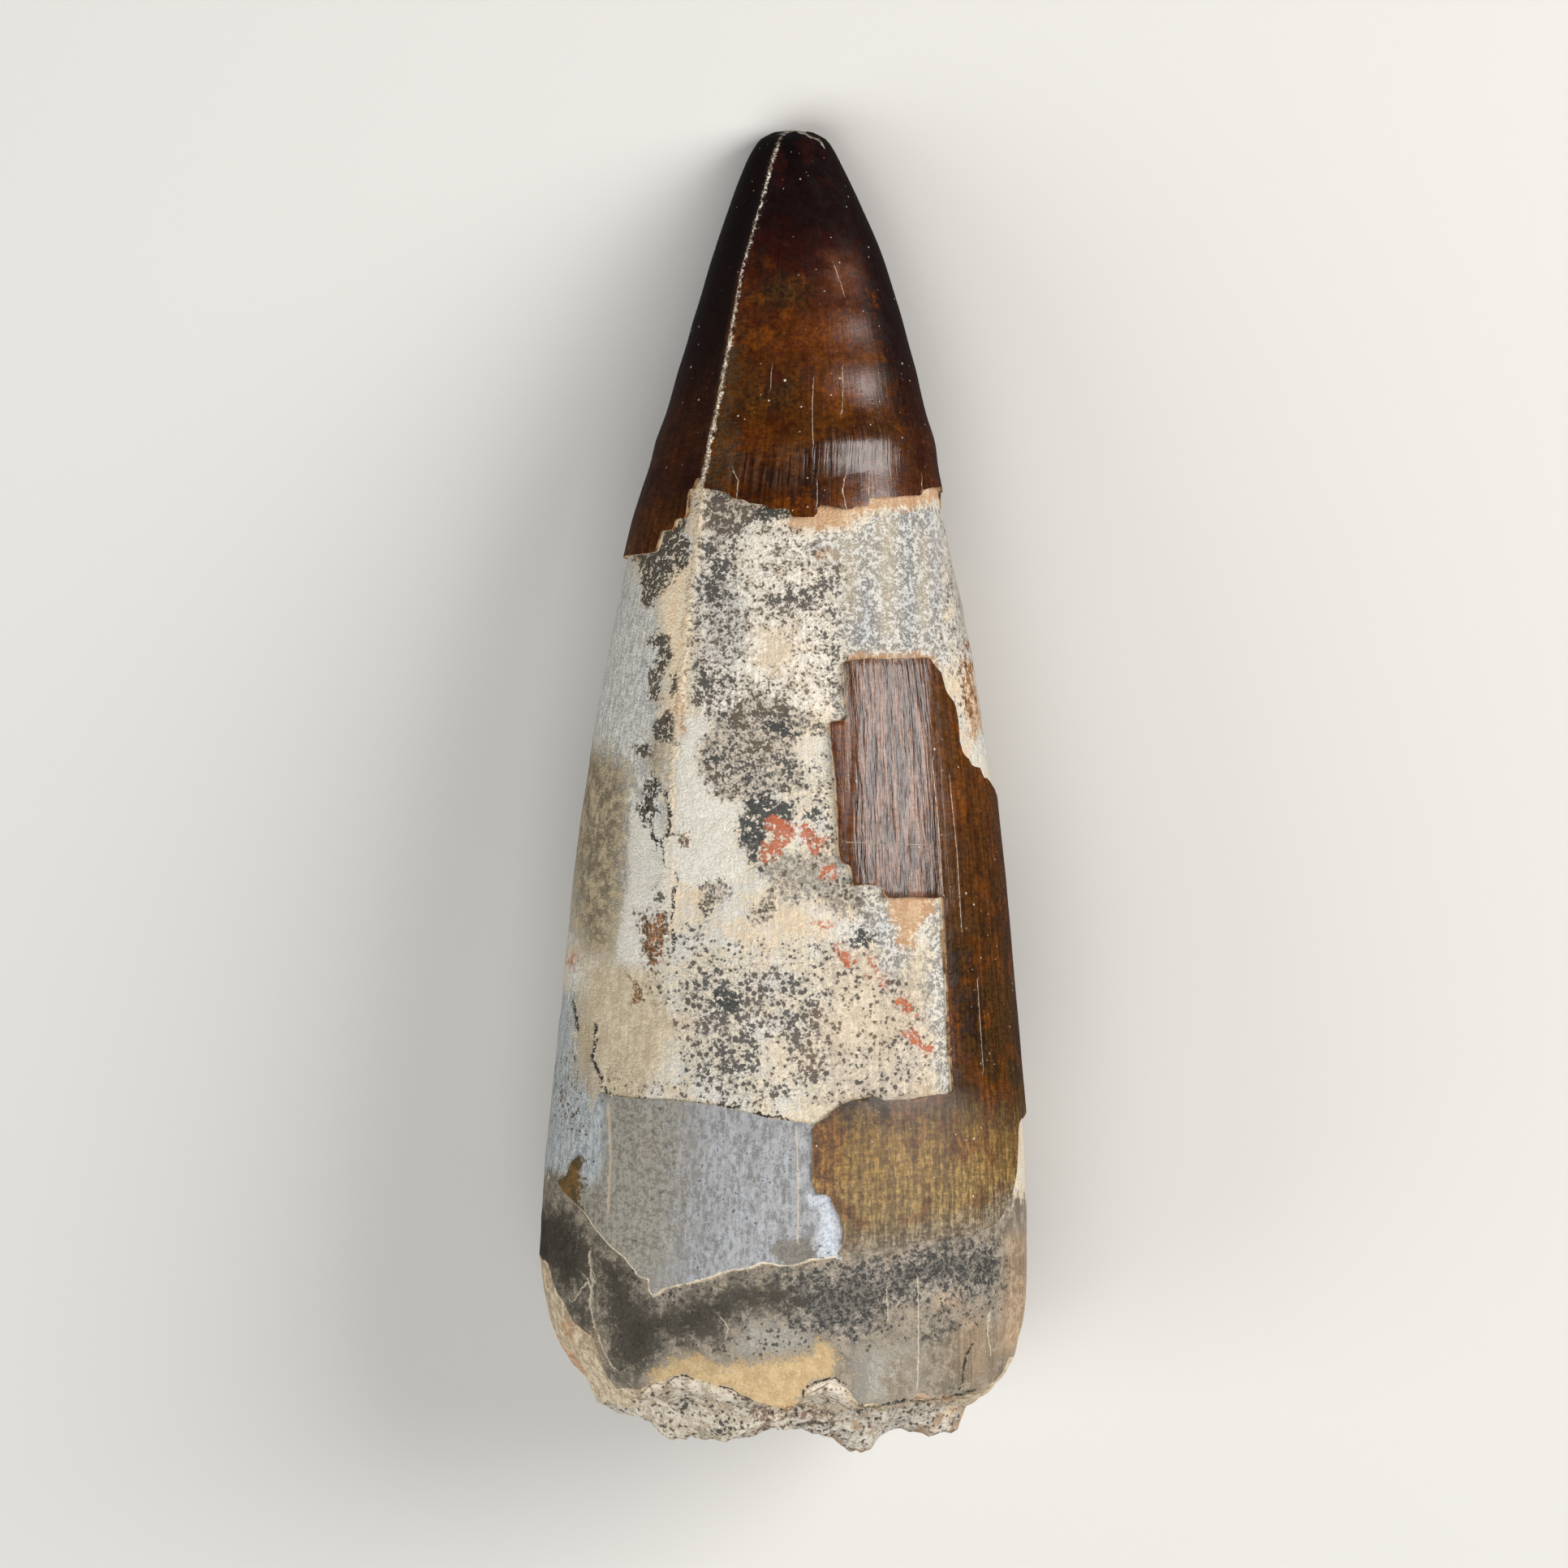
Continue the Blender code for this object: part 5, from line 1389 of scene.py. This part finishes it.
brokenEnd = {
    "wall": ((212, 196, 168), (164, 144, 116)), "tintedWall": (190, 122, 76),
    "matrix": ((206, 198, 184), (160, 150, 136)), "rustyPatches": (158, 122, 84),
    "darkLine": (78, 64, 50), "roughness": 0.75, "gloss": 0.25, "stains": ["matrix", "rustyMatrix"],
}


def brokenMaterial(shift):
    material, tree, seen = startMaterial("brokenRoot", shift)
    patterns = makePatterns(tree, seen)
    first, second = brokenEnd["wall"]
    wall = blend(tree, patterns["blotches"], tone(first), tone(second))
    tinted = spread(tree, cloud(tree, seen, 0.4, 4.0, 0.55), 0.52, 0.68, 0.0, 0.4)
    wall = stain(tree, tinted, wall, brokenEnd["tintedWall"])
    first, second = brokenEnd["matrix"]
    matrix = blend(tree, patterns["grains"], tone(first), tone(second))
    rusty = spread(tree, cloud(tree, seen, 0.45, 3.0), 0.54, 0.62, 0.0, 0.8)
    matrix = stain(tree, rusty, matrix, brokenEnd["rustyPatches"])
    sunk = weigh(tree, (1.0, centred(tree, patterns["middle"], 1.4)), (1.0, mark(tree, "sunk")))
    inner = spread(tree, sunk, 1.0, 1.3)
    colour = paintStains(tree, blend(tree, inner, wall, matrix), brokenEnd["stains"], patterns)
    crowded = larger(tree, spread(tree, inner, 0.0, 1.0, 0.06, 0.3), mark(tree, "speckles"))
    core, halo = speckMasks(tree, seen, crowded, patterns)
    colour = paintSpecks(tree, colour, core, halo, patterns, crowded)
    broken = spread(tree, patterns["mixed"], 0.43, 0.53, 0.15, 0.75)
    dark = lineMask(tree, "dark", centred(tree, patterns["fine"], 5.0), broken)
    colour = stain(tree, dark, colour, brokenEnd["darkLine"])
    height = weigh(tree, (0.3, patterns["middle"]), (0.22, patterns["mixed"]))
    endMaterial(tree, colour, brokenEnd["roughness"], brokenEnd["gloss"], height)
    return material


def dress(tooth, shift):
    made = {
        "brownEnamel": enamelMaterial(shift),
        "enamelEdge": edgeMaterial(shift, "enamelEdge"),
        "bareDentine": dentineMaterial(shift),
        "greyLayer": greyLayerMaterial(shift),
        "greyLayerEdge": edgeMaterial(shift, "greyLayerEdge"),
        "brokenRoot": brokenMaterial(shift),
    }
    for name in finishes:
        tooth.data.materials.append(made[name])


studio = {
    "floorSize": 1.6,
    "floorTone": (204, 202, 198),
    "floorHeight": -0.0001,  # just under the tooth
    "floorRoughness": 0.9,
    "floorGloss": 0.1,
    "worldTone": (1.0, 1.0, 1.0, 1.0),
    "worldStrength": 0.06,
    # direction from the tooth (across, along, up), distance, size, power, colour
    "lights": {
        "keyFromRight": [(0.8, 0.2, 0.6), 0.5, (0.28, 0.42), 3.3, (1.0, 0.98, 0.96)],
        "fillFromRoot": [(-0.15, -0.5, 0.85), 0.7, (0.5, 0.5), 3.2, (1.0, 1.0, 1.0)],
        "lowFromLeft": [(-0.8, -0.35, 0.5), 0.7, (0.4, 0.4), 2.1, (0.97, 0.99, 1.0)],
    },
    "middleOfView": (-0.1, 0.36),
    "frameWidth": 100.5,
    "lens": 300.0,
    "sensor": 36.0,
    "clip": (0.01, 10),
}


def makeStudio(shift):
    turn = Matrix.Rotation(-math.atan(underSlope), 3, "X")
    x, y = studio["middleOfView"]
    target = (turn @ Vector((x, y, float(middleUp(np.array([y]))[0]))) + shift) * millimetre
    bpy.ops.mesh.primitive_plane_add(size=studio["floorSize"], location=(0, 0, studio["floorHeight"]))
    floor = bpy.context.object
    floor.name = "tableTop"
    floor.visible_glossy = False  # the glossy sides would mirror the pale table
    material = bpy.data.materials.new("paleTable")
    material.use_nodes = True
    shader = material.node_tree.nodes["Principled BSDF"]
    shader.inputs["Base Color"].default_value = tone(studio["floorTone"])
    shader.inputs["Roughness"].default_value = studio["floorRoughness"]
    shader.inputs["Specular IOR Level"].default_value = studio["floorGloss"]
    floor.data.materials.append(material)
    for name, (direction, distance, size, power, colour) in studio["lights"].items():
        towards = (turn @ Vector(direction)).normalized()
        bpy.ops.object.light_add(type="AREA", location=target + towards * distance)
        light = bpy.context.object
        light.name = name
        light.data.shape = "RECTANGLE"
        light.data.size, light.data.size_y = size
        light.data.energy = power
        light.data.color = colour
        light.rotation_euler = towards.to_track_quat("Z", "Y").to_euler()
    distance = studio["frameWidth"] * millimetre * studio["lens"] / studio["sensor"]
    bpy.ops.object.camera_add(location=target + turn @ Vector((0, 0, distance)), rotation=turn.to_euler())
    camera = bpy.context.object
    camera.data.lens = studio["lens"]
    camera.data.sensor_width = studio["sensor"]
    camera.data.clip_start, camera.data.clip_end = studio["clip"]
    bpy.context.scene.camera = camera
    world = bpy.data.worlds.new("paleRoom")
    world.use_nodes = True
    world.node_tree.nodes["Background"].inputs["Color"].default_value = studio["worldTone"]
    world.node_tree.nodes["Background"].inputs["Strength"].default_value = studio["worldStrength"]
    bpy.context.scene.world = world
    bpy.context.scene.view_settings.view_transform = "Standard"


tooth, shift = makeTooth()
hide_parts("tooth")
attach(tooth, "root")
print("tooth dressed")
makeStudio(shift)
print("table, lights and camera placed")
